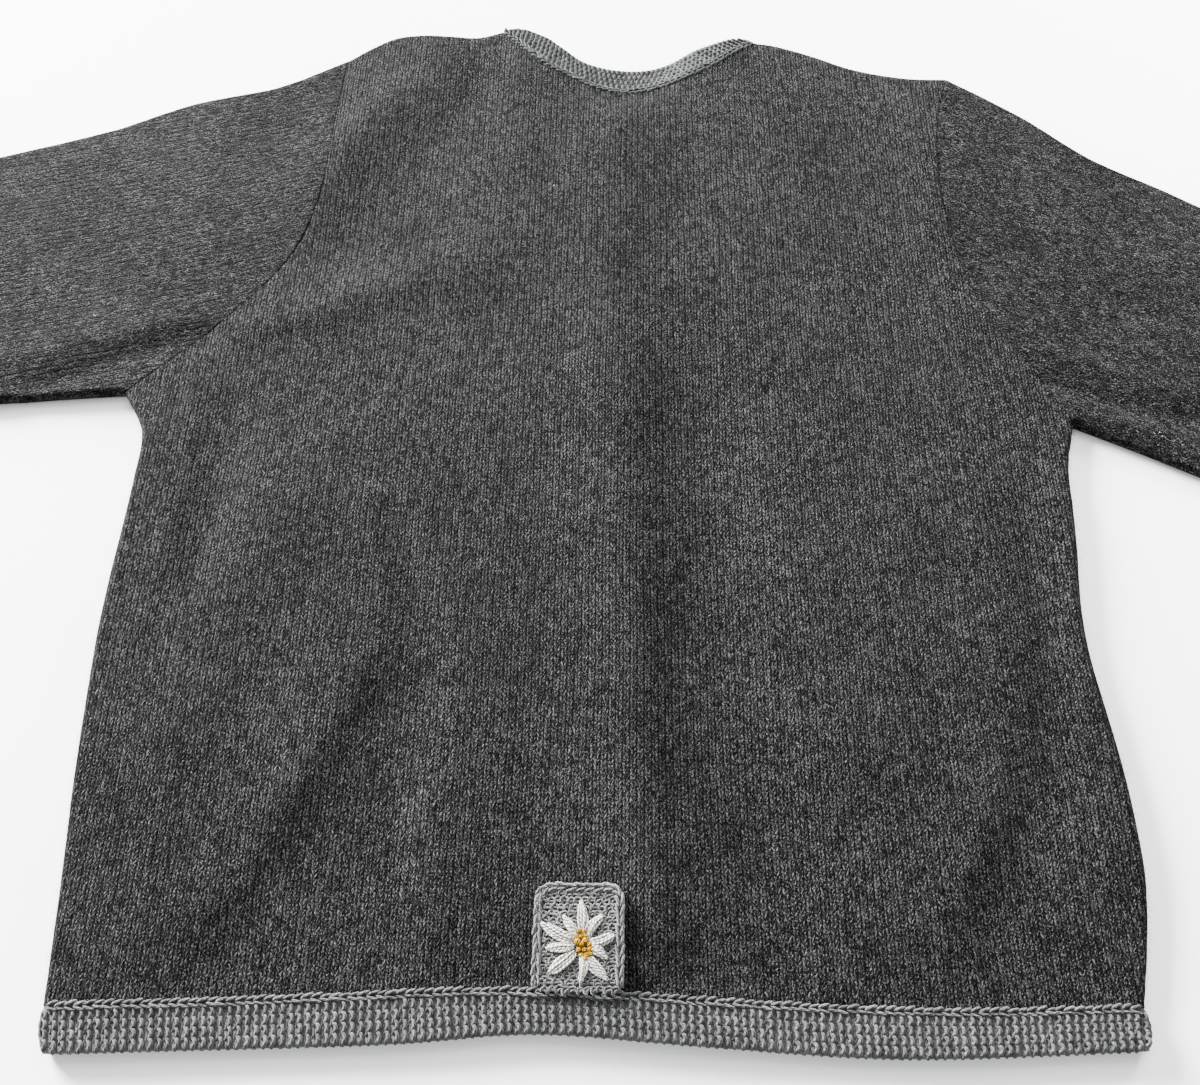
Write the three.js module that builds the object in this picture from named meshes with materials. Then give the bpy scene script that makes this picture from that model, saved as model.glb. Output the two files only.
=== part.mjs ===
// A knitted wool sweater that lies flat on a table with its back up.
//
// Millimetres. X is to the right as one looks at the back, Y runs from the hem to the neck, Z is up.
// The outlines are given from the middle of the hem's lower edge, and the last lines move the whole
// sweater so that its origin is at the middle of its underside.
//
// Each layer is a real wall. The front lies flat on the table and the back lies on the front. Side and
// shoulder seams run along the middle of a rounded fold, and the other seams are butted.
import * as THREE from "three";

// Thickness and air
const CLOTH = 2.3; // wall of the plain knitted pieces
const TRIM = 2.8; // wall of the crocheted bands
const PATCH = 2.4; // thickness of the crocheted patch
const SEAM = 0.3; // between two pieces at a seam
const AIR = 1; // least air between the front and the back
const LOFT = 2; // how much further up the back usually lies
const LEAST_LOFT = 0.5;
const MOST_LOFT = 6;
const ON_TABLE = 0.15; // under the back where nothing lies below it

// How finely each piece is divided
const SIDE_ROWS = 11; // hem to underarm
const ARMHOLE_ROWS = 11; // underarm to shoulder tip
const SHOULDER_COLUMNS = 6;
const NECK_COLUMNS = 10;
const SLEEVE_RINGS = 10;
const FOLD_STEPS = 2; // in each quarter of a rounded fold
const PATCH_CELLS = 6;
const CURVE_DIVISIONS = 400; // with which a curve's length is measured
const ABOVE_ALL = 100; // a height over the whole sweater

// Corners where seams meet
const UNDERARM_L = [-289, 354];
const UNDERARM_R = [277, 340];
const SHOULDER_L = [-186, 637];
const SHOULDER_R = [235, 625];
const NECK_L = [-78, 668];
const NECK_R = [103, 661];
const HEM_SEAM_L = [-260, 13];
const HEM_SEAM_R = [257, 20];
const HEM_EDGE_L = [-256, -8];
const HEM_EDGE_R = [256, 1];
const CUFF_SEAM_L = { top: [-707, 440], lower: [-677, 328] };
const CUFF_EDGE_L = { top: [-727, 434], lower: [-697, 322] };
const CUFF_SEAM_R = { top: [686, 278], lower: [622, 180] };
const CUFF_EDGE_R = { top: [704, 267], lower: [640, 168] };
const NECK_EDGE_L = [-62, 669];
const NECK_EDGE_R = [90, 664];

// Outlines between those corners. The cloth lies a little askew, so left and right differ.
const HEM_SEAM = [HEM_SEAM_L, [-165, 17], [-70, 22], [-25, 23], [72, 19], [165, 17], HEM_SEAM_R];
const HEM_EDGE = [HEM_EDGE_L, [-208, -6], [-92, -1], [-30, 4], [48, 0], [141, -4], HEM_EDGE_R];
const SIDE_L = [HEM_SEAM_L, [-264, 65], [-270, 130], [-274, 210], [-273, 305], [-277, 340], UNDERARM_L];
const SIDE_R = [HEM_SEAM_R, [268, 72], [268, 130], [261, 208], [266, 265], [271, 322], UNDERARM_R];
const ARMHOLE_L = [UNDERARM_L, [-264, 380], [-226, 423], [-200, 467], [-189, 522], [-188, 595], SHOULDER_L];
const ARMHOLE_R = [UNDERARM_R, [264, 367], [244, 402], [230, 437], [220, 490], [219, 545], [225, 592], SHOULDER_R];
const SHOULDER_LINE_L = [SHOULDER_L, [-157, 659], [-132, 664], [-96, 662], NECK_L];
const SHOULDER_LINE_R = [NECK_R, [135, 650], [170, 634], [205, 626], SHOULDER_R];
const BACK_NECK = [NECK_L, [-40, 631], [8, 612], [56, 626], NECK_R];
const FRONT_NECK = [NECK_L, [-63, 618], [-36, 566], [11, 543], [58, 564], [87, 612], NECK_R];
const BACK_NECK_EDGE = [NECK_EDGE_L, [-46, 661], [-20, 641], [8, 634], [34, 637], [64, 653], NECK_EDGE_R];
const FRONT_NECK_EDGE = [NECK_EDGE_L, [-44, 619], [-23, 581], [11, 564], [45, 579], [68, 617], NECK_EDGE_R];
const SLEEVE_TOP_L = [SHOULDER_L, [-220, 615], [-284, 595], [-345, 566], [-415, 541], [-560, 492], CUFF_SEAM_L.top];
const SLEEVE_LOW_L = [UNDERARM_L, [-304, 354], [-325, 351], [-366, 347], [-520, 335], CUFF_SEAM_L.lower];
const SLEEVE_TOP_R = [SHOULDER_R, [271, 600], [319, 555], [391, 509], [540, 395], CUFF_SEAM_R.top];
const SLEEVE_LOW_R = [UNDERARM_R, [284, 342], [310, 325], [347, 307], [480, 247], CUFF_SEAM_R.lower];

// The front's neck opening as an ellipse inside its band. The back sinks to the table within it.
const OPENING = { x: 12, y: 667, halfWidth: 63, depth: 104, rim: 0.85, floor: 0.5 };

const PATCH_OUTLINE = { left: -31, right: 12.5, bottom: 24, top: 71.5, corner: 8 };

// The largest folds of the upper layer: where each runs, how far it spreads to a side and how far it rises.
const FOLDS = [
  { path: [[-2, 600], [0, 430], [4, 287], [12, 120], [20, 40]], spread: 21, rise: 3.6 }, // long centre ridge
  { path: [[42, 540], [44, 393], [52, 288], [58, 150], [94, 60]], spread: 24, rise: -1.6 },
  { path: [[-136, 608], [-162, 575], [-192, 526], [-214, 484]], spread: 21, rise: 3.4 }, // left sleeve head
  { path: [[-96, 625], [-114, 580], [-141, 520], [-170, 464]], spread: 24, rise: -1.6 },
  { path: [[-60, 640], [-56, 590], [-52, 540]], spread: 18, rise: 1.4 }, // left of the neck
  { path: [[-222, 404], [-146, 430], [-88, 458]], spread: 18, rise: 1.8 }, // across the left underarm
  { path: [[-266, 340], [-264, 280], [-264, 210]], spread: 16, rise: 1.6 }, // down the left side
  { path: [[-232, 350], [-230, 300], [-234, 230]], spread: 18, rise: -1.6 },
  { path: [[-188, 290], [-198, 236], [-208, 179], [-220, 130]], spread: 24, rise: 2.8 },
  { path: [[-142, 184], [-158, 140], [-186, 88], [-210, 50]], spread: 22, rise: 1.6 }, // fan above the left hem
  { path: [[-106, 168], [-122, 120], [-142, 70], [-158, 36]], spread: 20, rise: -1.5 },
  { path: [[-74, 150], [-72, 90], [-74, 40]], spread: 20, rise: 1.4 },
  { path: [[112, 240], [126, 190], [134, 140]], spread: 28, rise: 2.2 }, // right of the centre
  { path: [[206, 250], [212, 180], [196, 120], [166, 60]], spread: 20, rise: 1.4 }, // down the right side
  { path: [[240, 270], [243, 187], [230, 120], [200, 50]], spread: 18, rise: -1.6 },
  { path: [[262, 300], [262, 230], [258, 170], [260, 90]], spread: 18, rise: 1.6 },
  { path: [[296, 520], [304, 486], [360, 476]], spread: 24, rise: 2 }, // right sleeve
  { path: [[264, 410], [300, 396], [356, 374]], spread: 18, rise: 2 },
  { path: [[-390, 376], [-340, 388], [-280, 406]], spread: 16, rise: 1.6 }, // left sleeve, at the underarm
  { path: [[-455, 505], [-500, 440], [-510, 370]], spread: 24, rise: 2.4 }, // left elbow
  { path: [[-560, 470], [-600, 400]], spread: 22, rise: 1.6 },
  { path: [[430, 440], [450, 380], [440, 300]], spread: 24, rise: 2.4 }, // right elbow
  { path: [[560, 350], [570, 270]], spread: 22, rise: 1.6 },
];

const KNIT_MATERIAL = new THREE.MeshStandardMaterial({ color: 0x474646, roughness: 0.95, metalness: 0 });
const TRIM_MATERIAL = new THREE.MeshStandardMaterial({ color: 0x7c7e7e, roughness: 0.92, metalness: 0 });

// ---------------------------------------------------------------------------------------------------
// Heights
// ---------------------------------------------------------------------------------------------------

const smooth = (t) => {
  const c = Math.min(1, Math.max(0, t));
  return c * c * (3 - 2 * c);
};

// A fold's height at a point, from its distance to the nearest stretch of the fold's path.
function foldHeight(fold, x, y) {
  let nearest = Infinity;
  for (let i = 1; i < fold.path.length; i++) {
    const [ax, ay] = fold.path[i - 1];
    const [bx, by] = fold.path[i];
    const lengthSquared = (bx - ax) ** 2 + (by - ay) ** 2;
    const share = ((x - ax) * (bx - ax) + (y - ay) * (by - ay)) / lengthSquared;
    const t = Math.min(1, Math.max(0, share));
    nearest = Math.min(nearest, Math.hypot(x - ax - t * (bx - ax), y - ay - t * (by - ay)));
  }
  return fold.rise * Math.exp(-((nearest / fold.spread) ** 2));
}

// Height of the upper layer's underside above the table.
function underside(x, y) {
  const folds = FOLDS.reduce((sum, fold) => sum + foldHeight(fold, x, y), 0);
  const loft = Math.min(MOST_LOFT, Math.max(LEAST_LOFT, LOFT + folds));
  const inOpening = Math.hypot((x - OPENING.x) / OPENING.halfWidth, (y - OPENING.y) / OPENING.depth);
  const sunk = smooth((OPENING.rim - inOpening) / (OPENING.rim - OPENING.floor));
  return THREE.MathUtils.lerp(CLOTH + AIR + loft, ON_TABLE, sunk);
}

// ---------------------------------------------------------------------------------------------------
// Plan curves and patches
// ---------------------------------------------------------------------------------------------------

// Points evenly spaced along a smooth curve through the given ones.
function along(points, steps) {
  const curve = new THREE.CatmullRomCurve3(points.map(([x, y]) => new THREE.Vector3(x, y, 0)));
  curve.arcLengthDivisions = CURVE_DIVISIONS;
  return curve.getSpacedPoints(steps);
}

// A patch of plan points between four edges: rows run from bottom to top, columns from left to right.
function patchBetween(bottom, top, left, right) {
  const columns = bottom.length - 1;
  const rows = left.length - 1;
  return left.map((_, j) =>
    bottom.map((__, i) => {
      const u = i / columns;
      const v = j / rows;
      const lengthwise = bottom[i].clone().lerp(top[i], v);
      const crosswise = left[j].clone().lerp(right[j], u);
      const low = bottom[0].clone().lerp(bottom[columns], u);
      const high = top[0].clone().lerp(top[columns], u);
      return lengthwise.add(crosswise).sub(low.lerp(high, v));
    }),
  );
}

// The run of points moved sideways in plan, to the left of its direction.
function movedLeft(points, distance) {
  const turned = points.slice(1).map((p, i) => {
    const d = p.clone().sub(points[i]).normalize();
    return new THREE.Vector3(-d.y, d.x, 0);
  });
  return points.map((p, i) => {
    const before = turned[Math.max(0, i - 1)];
    const after = turned[Math.min(turned.length - 1, i)];
    return p.clone().addScaledVector(before.clone().add(after).normalize(), distance);
  });
}

const towards = (from, to) => to.clone().sub(from).setZ(0).normalize();

// ---------------------------------------------------------------------------------------------------
// Solids from grids of points
// ---------------------------------------------------------------------------------------------------

// A mesh from an outer and an inner grid. `closed` joins the last column to the first, for a tube.
function wallMesh(name, outer, inner, material, closed) {
  const rows = outer.length;
  const columns = outer[0].length;
  const positions = [...outer.flat(), ...inner.flat()].flatMap((p) => [p.x, p.y, p.z]);
  const indices = [];
  const quad = (a, b, c, d) => indices.push(a, b, c, a, c, d);
  const out = (j, i) => j * columns + (i % columns);
  const inn = (j, i) => rows * columns + out(j, i);
  const spans = closed ? columns : columns - 1;
  for (let j = 0; j < rows - 1; j++) {
    for (let i = 0; i < spans; i++) {
      quad(out(j, i), out(j, i + 1), out(j + 1, i + 1), out(j + 1, i));
      quad(inn(j, i), inn(j + 1, i), inn(j + 1, i + 1), inn(j, i + 1));
    }
  }
  for (let i = 0; i < spans; i++) {
    quad(inn(0, i), inn(0, i + 1), out(0, i + 1), out(0, i));
    quad(out(rows - 1, i), out(rows - 1, i + 1), inn(rows - 1, i + 1), inn(rows - 1, i));
  }
  if (!closed) {
    for (let j = 0; j < rows - 1; j++) {
      quad(inn(j + 1, 0), inn(j, 0), out(j, 0), out(j + 1, 0));
      quad(inn(j, spans), inn(j + 1, spans), out(j + 1, spans), out(j, spans));
    }
  }
  const geometry = new THREE.BufferGeometry();
  geometry.setAttribute("position", new THREE.Float32BufferAttribute(positions, 3));
  geometry.setIndex(indices);
  geometry.computeVertexNormals();
  const mesh = new THREE.Mesh(geometry, material);
  mesh.name = name;
  return mesh;
}

const foldAngle = (step) => (step / FOLD_STEPS) * (Math.PI / 2);

// How a wall ends at an edge: `round` turns it down a quarter circle to the middle of the fold, and
// otherwise it runs level to a butted seam. Gives how far a point lies inside the edge, and its fall.
function edgeStep(step, round, radius, wallInside) {
  const angle = foldAngle(step);
  const reach = radius - wallInside;
  if (round) return { inset: radius - reach * Math.sin(angle), fall: reach * (1 - Math.cos(angle)) };
  return { inset: radius * (1 - step / FOLD_STEPS), fall: 0 };
}

// ---------------------------------------------------------------------------------------------------
// Back and front
// ---------------------------------------------------------------------------------------------------

const panelColumns = 2 * SHOULDER_COLUMNS + NECK_COLUMNS;
const panelRows = SIDE_ROWS + ARMHOLE_ROWS;

// A panel, the back when `isBack`. The two differ only in their neckline and in which way they fold.
function panel(name, neckline, isBack) {
  const bottom = along(HEM_SEAM, panelColumns).map((p) => p.setY(p.y + SEAM / 2));
  const armholeL = movedLeft(along(ARMHOLE_L, ARMHOLE_ROWS), -SEAM / 2);
  const armholeR = movedLeft(along(ARMHOLE_R, ARMHOLE_ROWS), SEAM / 2);
  const left = [bottom[0], ...along(SIDE_L, SIDE_ROWS).slice(1, -1), ...armholeL];
  const right = [bottom.at(-1), ...along(SIDE_R, SIDE_ROWS).slice(1, -1), ...armholeR];
  const top = [
    armholeL.at(-1),
    ...along(SHOULDER_LINE_L, SHOULDER_COLUMNS).slice(1, -1),
    ...movedLeft(along(neckline, NECK_COLUMNS), -SEAM / 2),
    ...along(SHOULDER_LINE_R, SHOULDER_COLUMNS).slice(1, -1),
    armholeR.at(-1),
  ];
  const plan = patchBetween(bottom, top, left, right);
  const sideIsRound = (row) => row <= SIDE_ROWS;
  const topIsRound = (column) => column <= SHOULDER_COLUMNS || column >= panelColumns - SHOULDER_COLUMNS;

  // One point of the grid. A negative or too large column or row is a step of the rounded edge.
  const point = (column, row, wallInside) => {
    const i = THREE.MathUtils.clamp(column, 0, panelColumns);
    const j = Math.min(row, panelRows);
    const onSide = i === 0 || i === panelColumns;
    const onTop = j === panelRows;
    const p = plan[j][i].clone();
    if (!onSide && !onTop) return p.setZ(isBack ? underside(p.x, p.y) + CLOTH - wallInside : wallInside);
    const radius = (underside(p.x, p.y) + CLOTH) / 2;
    let fall = 0;
    let onFold = false;
    if (onSide) {
      const step = i === 0 ? -column : column - panelColumns;
      const edge = edgeStep(step, sideIsRound(j), radius, wallInside);
      p.addScaledVector(towards(plan[j][i], plan[j][i === 0 ? 1 : i - 1]), edge.inset);
      fall = edge.fall;
      onFold = sideIsRound(j) && step === FOLD_STEPS;
    }
    if (onTop) {
      const step = row - panelRows;
      const edge = edgeStep(step, topIsRound(i), radius, wallInside);
      p.addScaledVector(towards(plan[j][i], plan[j - 1][i]), edge.inset);
      fall = Math.max(fall, edge.fall);
      onFold ||= topIsRound(i) && step === FOLD_STEPS;
    }
    const level = 2 * radius - wallInside - fall + (onFold ? SEAM / 2 : 0);
    return p.setZ(isBack ? level : 2 * radius - level);
  };
  const grid = (wallInside) => {
    const rows = [];
    for (let row = 0; row <= panelRows + FOLD_STEPS; row++) {
      const across = [];
      for (let column = -FOLD_STEPS; column <= panelColumns + FOLD_STEPS; column++) {
        across.push(point(column, row, wallInside));
      }
      rows.push(isBack ? across : across.reverse());
    }
    return rows;
  };
  return wallMesh(name, grid(0), grid(CLOTH), KNIT_MATERIAL, false);
}

// ---------------------------------------------------------------------------------------------------
// Sleeves and bands: flattened tubes
// ---------------------------------------------------------------------------------------------------

// A flattened tube between an upper and a lower patch that share their first and last columns.
function flatTube(name, upper, lower, wall, material) {
  const ring = (j, wallInside) => {
    const fold = (edge, next, quarterSteps) => {
      const radius = (underside(edge.x, edge.y) + wall) / 2;
      const reach = radius - wallInside;
      return quarterSteps.map((step) => {
        const inset = radius - reach * Math.sin(foldAngle(step));
        const p = edge.clone().addScaledVector(towards(edge, next), inset);
        return p.setZ(radius + reach * Math.cos(foldAngle(step)));
      });
    };
    const onTop = (p) => p.clone().setZ(underside(p.x, p.y) + wall - wallInside);
    const below = (p) => p.clone().setZ(wallInside);
    const down = Array.from({ length: 2 * FOLD_STEPS + 1 }, (_, k) => k);
    const up = [...down].reverse();
    return [
      ...upper[j].slice(1, -1).map(onTop),
      ...fold(upper[j].at(-1), upper[j].at(-2), down),
      ...lower[j].slice(1, -1).reverse().map(below),
      ...fold(upper[j][0], upper[j][1], up),
    ];
  };
  const grid = (wallInside) => upper.map((_, j) => ring(j, wallInside));
  return wallMesh(name, grid(0), grid(wall), material, true);
}

// Straight points from one end to the other.
const line = (from, to, steps) => along([from, to], steps);

function sleeve(name, armhole, topEdge, lowEdge, cuffSeam, isLeft) {
  const armholeEnd = movedLeft(along(armhole, ARMHOLE_ROWS), isLeft ? SEAM / 2 : -SEAM / 2);
  const cuffEnd = line(cuffSeam.lower, cuffSeam.top, ARMHOLE_ROWS);
  const low = [armholeEnd[0], ...along(lowEdge, SLEEVE_RINGS).slice(1)];
  const high = [armholeEnd.at(-1), ...along(topEdge, SLEEVE_RINGS).slice(1)];
  const plan = patchBetween(armholeEnd, cuffEnd, low, high);
  const rows = isLeft ? plan : plan.map((row) => [...row].reverse());
  return flatTube(name, rows, rows, CLOTH, KNIT_MATERIAL);
}

function cuff(name, seam, edge, isLeft) {
  const outward = new THREE.Vector3(edge.top[0] - seam.top[0], edge.top[1] - seam.top[1], 0).normalize();
  const start = line(seam.lower, seam.top, ARMHOLE_ROWS).map((p) => p.addScaledVector(outward, SEAM));
  const end = line(edge.lower, edge.top, ARMHOLE_ROWS);
  const rows = [start, end].map((row) => (isLeft ? row : row.reverse()));
  return flatTube(name, rows, rows, TRIM, TRIM_MATERIAL);
}

function hemBand() {
  const seam = along(HEM_SEAM, panelColumns).map((p) => p.setY(p.y - SEAM / 2));
  const edge = along(HEM_EDGE, panelColumns);
  const rows = [edge, seam];
  return flatTube("hem_band", rows, rows, TRIM, TRIM_MATERIAL);
}

function neckBand() {
  const strip = (seam, edge) => [movedLeft(along(seam, NECK_COLUMNS), SEAM / 2), along(edge, NECK_COLUMNS)];
  const upper = strip(BACK_NECK, BACK_NECK_EDGE);
  const lower = strip(FRONT_NECK, FRONT_NECK_EDGE);
  return flatTube("neck_band", upper, lower, TRIM, TRIM_MATERIAL);
}

// ---------------------------------------------------------------------------------------------------
// Patch
// ---------------------------------------------------------------------------------------------------

// The height of a mesh's top at a point, from the triangle that holds it.
function topOf(mesh, x, y) {
  const positions = mesh.geometry.getAttribute("position");
  const index = mesh.geometry.getIndex();
  const ray = new THREE.Ray(new THREE.Vector3(x, y, ABOVE_ALL), new THREE.Vector3(0, 0, -1));
  const [a, b, c, hit] = [0, 1, 2, 3].map(() => new THREE.Vector3());
  let height = 0;
  for (let k = 0; k < index.count; k += 3) {
    a.fromBufferAttribute(positions, index.getX(k));
    b.fromBufferAttribute(positions, index.getX(k + 1));
    c.fromBufferAttribute(positions, index.getX(k + 2));
    if (ray.intersectTriangle(a, b, c, false, hit)) height = Math.max(height, hit.z);
  }
  return height;
}

// The patch follows the top of the back, one seam gap above it. Its two upper corners are rounded.
function patch(back) {
  const { left, right, bottom, top, corner } = PATCH_OUTLINE;
  const row = (j, lift) =>
    Array.from({ length: PATCH_CELLS + 1 }, (_, i) => {
      const y = bottom + (top - bottom) * Math.sin((j / PATCH_CELLS) * (Math.PI / 2));
      const below = Math.max(0, y - (top - corner));
      const cut = corner - Math.sqrt(corner ** 2 - below ** 2);
      const x = THREE.MathUtils.lerp(left + cut, right - cut, i / PATCH_CELLS);
      return new THREE.Vector3(x, y, topOf(back, x, y) + SEAM + lift);
    });
  const grid = (lift) => Array.from({ length: PATCH_CELLS + 1 }, (_, j) => row(j, lift));
  return wallMesh("patch", grid(PATCH), grid(0), TRIM_MATERIAL, false);
}

// ---------------------------------------------------------------------------------------------------
// The whole sweater
// ---------------------------------------------------------------------------------------------------

const back = panel("back_panel", BACK_NECK, true);
const sweater = new THREE.Group();
sweater.add(
  back,
  panel("front_panel", FRONT_NECK, false),
  sleeve("sleeve_left", ARMHOLE_L, SLEEVE_TOP_L, SLEEVE_LOW_L, CUFF_SEAM_L, true),
  sleeve("sleeve_right", ARMHOLE_R, SLEEVE_TOP_R, SLEEVE_LOW_R, CUFF_SEAM_R, false),
  cuff("cuff_left", CUFF_SEAM_L, CUFF_EDGE_L, true),
  cuff("cuff_right", CUFF_SEAM_R, CUFF_EDGE_R, false),
  hemBand(),
  neckBand(),
  patch(back),
);

const box = new THREE.Box3().setFromObject(sweater);
const middle = box.getCenter(new THREE.Vector3());
sweater.position.set(-middle.x, -middle.y, -box.min.z);

export default sweater;
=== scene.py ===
"""A charcoal wool sweater that lies flat with its back up, on a plain pale surface.

The knitted pieces are thin shells on the outlines and heights of their CAD solids, with narrower
creases placed one by one. Their wales are ribs in the mesh, and the stitches are bump and colour. Bands,
patch and flower are made of yarn, and loose fibres lie on the wool.
"""

import math

import bmesh
import bpy
import numpy as np
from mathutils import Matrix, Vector, kdtree
from mathutils.bvhtree import BVHTree
from mathutils.geometry import delaunay_2d_cdt


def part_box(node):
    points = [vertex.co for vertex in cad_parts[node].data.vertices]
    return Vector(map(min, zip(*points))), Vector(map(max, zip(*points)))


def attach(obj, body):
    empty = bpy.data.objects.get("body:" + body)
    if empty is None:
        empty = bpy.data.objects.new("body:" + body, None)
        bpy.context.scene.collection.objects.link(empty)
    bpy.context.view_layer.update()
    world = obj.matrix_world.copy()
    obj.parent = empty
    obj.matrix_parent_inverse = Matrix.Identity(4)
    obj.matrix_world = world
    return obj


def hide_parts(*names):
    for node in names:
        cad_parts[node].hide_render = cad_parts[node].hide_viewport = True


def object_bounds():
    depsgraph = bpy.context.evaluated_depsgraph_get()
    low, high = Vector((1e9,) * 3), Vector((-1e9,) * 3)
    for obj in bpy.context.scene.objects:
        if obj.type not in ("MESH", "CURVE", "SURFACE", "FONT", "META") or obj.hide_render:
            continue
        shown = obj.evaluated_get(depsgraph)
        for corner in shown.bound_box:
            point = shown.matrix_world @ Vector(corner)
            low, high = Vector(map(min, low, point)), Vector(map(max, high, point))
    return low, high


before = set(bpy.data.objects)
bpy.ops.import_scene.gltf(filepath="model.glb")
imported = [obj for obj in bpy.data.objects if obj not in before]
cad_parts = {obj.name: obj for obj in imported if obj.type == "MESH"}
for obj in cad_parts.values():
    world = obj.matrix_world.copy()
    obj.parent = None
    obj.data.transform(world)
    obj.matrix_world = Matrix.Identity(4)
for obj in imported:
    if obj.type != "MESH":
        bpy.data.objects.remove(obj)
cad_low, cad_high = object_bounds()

MM = 0.001
rng = np.random.default_rng(7)

# Wool
WALE = 3.73 * MM  # width of one column of stitches
COURSE = 2.8 * MM  # height of one row of stitches
CLOTH = 2.3 * MM  # wall of the knitted pieces
TRIM = 2.8 * MM  # wall of the crocheted bands
TRIM_RISE = TRIM - CLOTH  # how much higher a band's top is than the cloth beside it
RIB_HEIGHT = 0.11 * MM  # of a wale
SLEEVE_RIBS = 0.5  # share of that height on the sleeves, which are felted

# Mesh
RIB_SAMPLES = 4  # lattice columns for each wale
ROW = 6 * MM  # between lattice rows
COARSE = 12 * MM  # lattice of surfaces that don't show
EDGE_STEP = 1.1 * MM  # between points of an outline
SEAM_ROLL = 0.45 * MM  # radius to which a seam's edge rolls in
SEAM_GAP = 0.3 * MM  # between pieces
SEAM_APART = 0.02 * MM  # least height of a seam's edge above the middle of its fold
FLOOR_GAP = 0.05 * MM  # least height of yarn above the surface it lies on

BAND_NODES = ("hem_band", "neck_band", "cuff_left", "cuff_right")

# Places on the sweater are given in millimetres from the middle of the hem's lower edge.
hem_low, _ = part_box("hem_band")
HEM_MIDDLE = np.array([hem_low.x + 260 * MM, hem_low.y + 8 * MM])


def place(x, y):
    """World plan point of a place on the sweater."""
    return HEM_MIDDLE + np.array([x, y]) * MM


BODY_MIDDLE = place(0, 330)


def camera():
    """The camera stands at the hem and looks down over the sweater."""
    data = bpy.data.cameras.new("camera")
    data.sensor_width = 36
    data.lens = 34.5
    data.clip_start = 0.01
    made = bpy.data.objects.new("camera", data)
    bpy.context.scene.collection.objects.link(made)
    foot = place(2.1, -28)
    made.location = (foot[0], foot[1], 585 * MM)
    made.rotation_euler = (math.radians(26.34), 0, math.radians(0.88))
    bpy.context.scene.camera = made


camera()


# --- Smooth fields over the plan ---


class Field:
    """A smooth function of plan points: a cubic B-spline over a square grid of values."""

    def __init__(self, values, low, step):
        self.values = np.pad(values, 2, mode="edge")
        self.low = np.asarray(low) - 2 * step
        self.step = step

    def __call__(self, points):
        where = (np.asarray(points)[..., :2] - self.low) / self.step
        cell = np.floor(where).astype(int)
        t = where - cell
        weights = np.stack(
            [(1 - t) ** 3, 3 * t**3 - 6 * t**2 + 4, -3 * t**3 + 3 * t**2 + 3 * t + 1, t**3], axis=-1
        ) / 6
        rows, columns = self.values.shape
        total = 0
        for i in range(4):
            for j in range(4):
                row = np.clip(cell[..., 1] + j - 1, 0, rows - 1)
                column = np.clip(cell[..., 0] + i - 1, 0, columns - 1)
                total = total + weights[..., 0, i] * weights[..., 1, j] * self.values[row, column]
        return total


def plan_grid(step):
    """Lowest corner, rows and columns of a square grid that reaches past the sweater."""
    margin = 4 * step
    low = np.array([cad_low.x, cad_low.y]) - margin
    size = np.array([cad_high.x, cad_high.y]) + margin - low
    columns, rows = np.ceil(size / step).astype(int) + 1
    return low, rows, columns


def noise_field(step, seed):
    """Smooth random values, about -1 to 1, that change over `step`."""
    low, rows, columns = plan_grid(step)
    values = np.random.default_rng(seed).uniform(-1.6, 1.6, (rows, columns))
    return Field(values, low, step)


def level_tree(node):
    """A search tree over the level upward triangles of a CAD node."""
    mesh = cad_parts[node].data
    corners = [v.co.copy() for v in mesh.vertices]
    faces = [tuple(p.vertices) for p in mesh.polygons if p.normal.z > 0.95]
    return BVHTree.FromPolygons(corners, faces)


SMOOTHING = 3  # rounds that soften the facets of the CAD's top


def top_of_cad(step):
    """Height of the upper layer as a field, from the level faces of the CAD nodes."""
    trees = [(level_tree(node), TRIM_RISE if node in BAND_NODES else 0)
             for node in ("back_panel", "sleeve_left", "sleeve_right") + BAND_NODES]
    low, rows, columns = plan_grid(step)
    heights = np.full((rows, columns), np.nan)
    down = Vector((0, 0, -1))
    for row in range(rows):
        for column in range(columns):
            start = Vector((low[0] + column * step, low[1] + row * step, 1))
            hits = [(tree.ray_cast(start, down)[0], rise) for tree, rise in trees]
            found = [hit.z - rise for hit, rise in hits if hit is not None]
            if found:
                heights[row, column] = max(found)
    # Outside the sweater, heights spread from cell to cell.
    while np.isnan(heights).any():
        padded = np.pad(heights, 1, constant_values=np.nan)
        around = np.stack([padded[1 + dr : rows + 1 + dr, 1 + dc : columns + 1 + dc]
                           for dr in (-1, 0, 1) for dc in (-1, 0, 1)])
        known = ~np.isnan(around)
        mean = np.where(known, around, 0).sum(0) / np.maximum(known.sum(0), 1)
        heights = np.where(np.isnan(heights) & known.any(0), mean, heights)
    for _ in range(SMOOTHING):
        padded = np.pad(heights, 1, mode="edge")
        beside = padded[:-2, 1:-1] + padded[2:, 1:-1] + padded[1:-1, :-2] + padded[1:-1, 2:]
        heights = beside / 8 + heights / 2
    return Field(heights, low, step)


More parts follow.
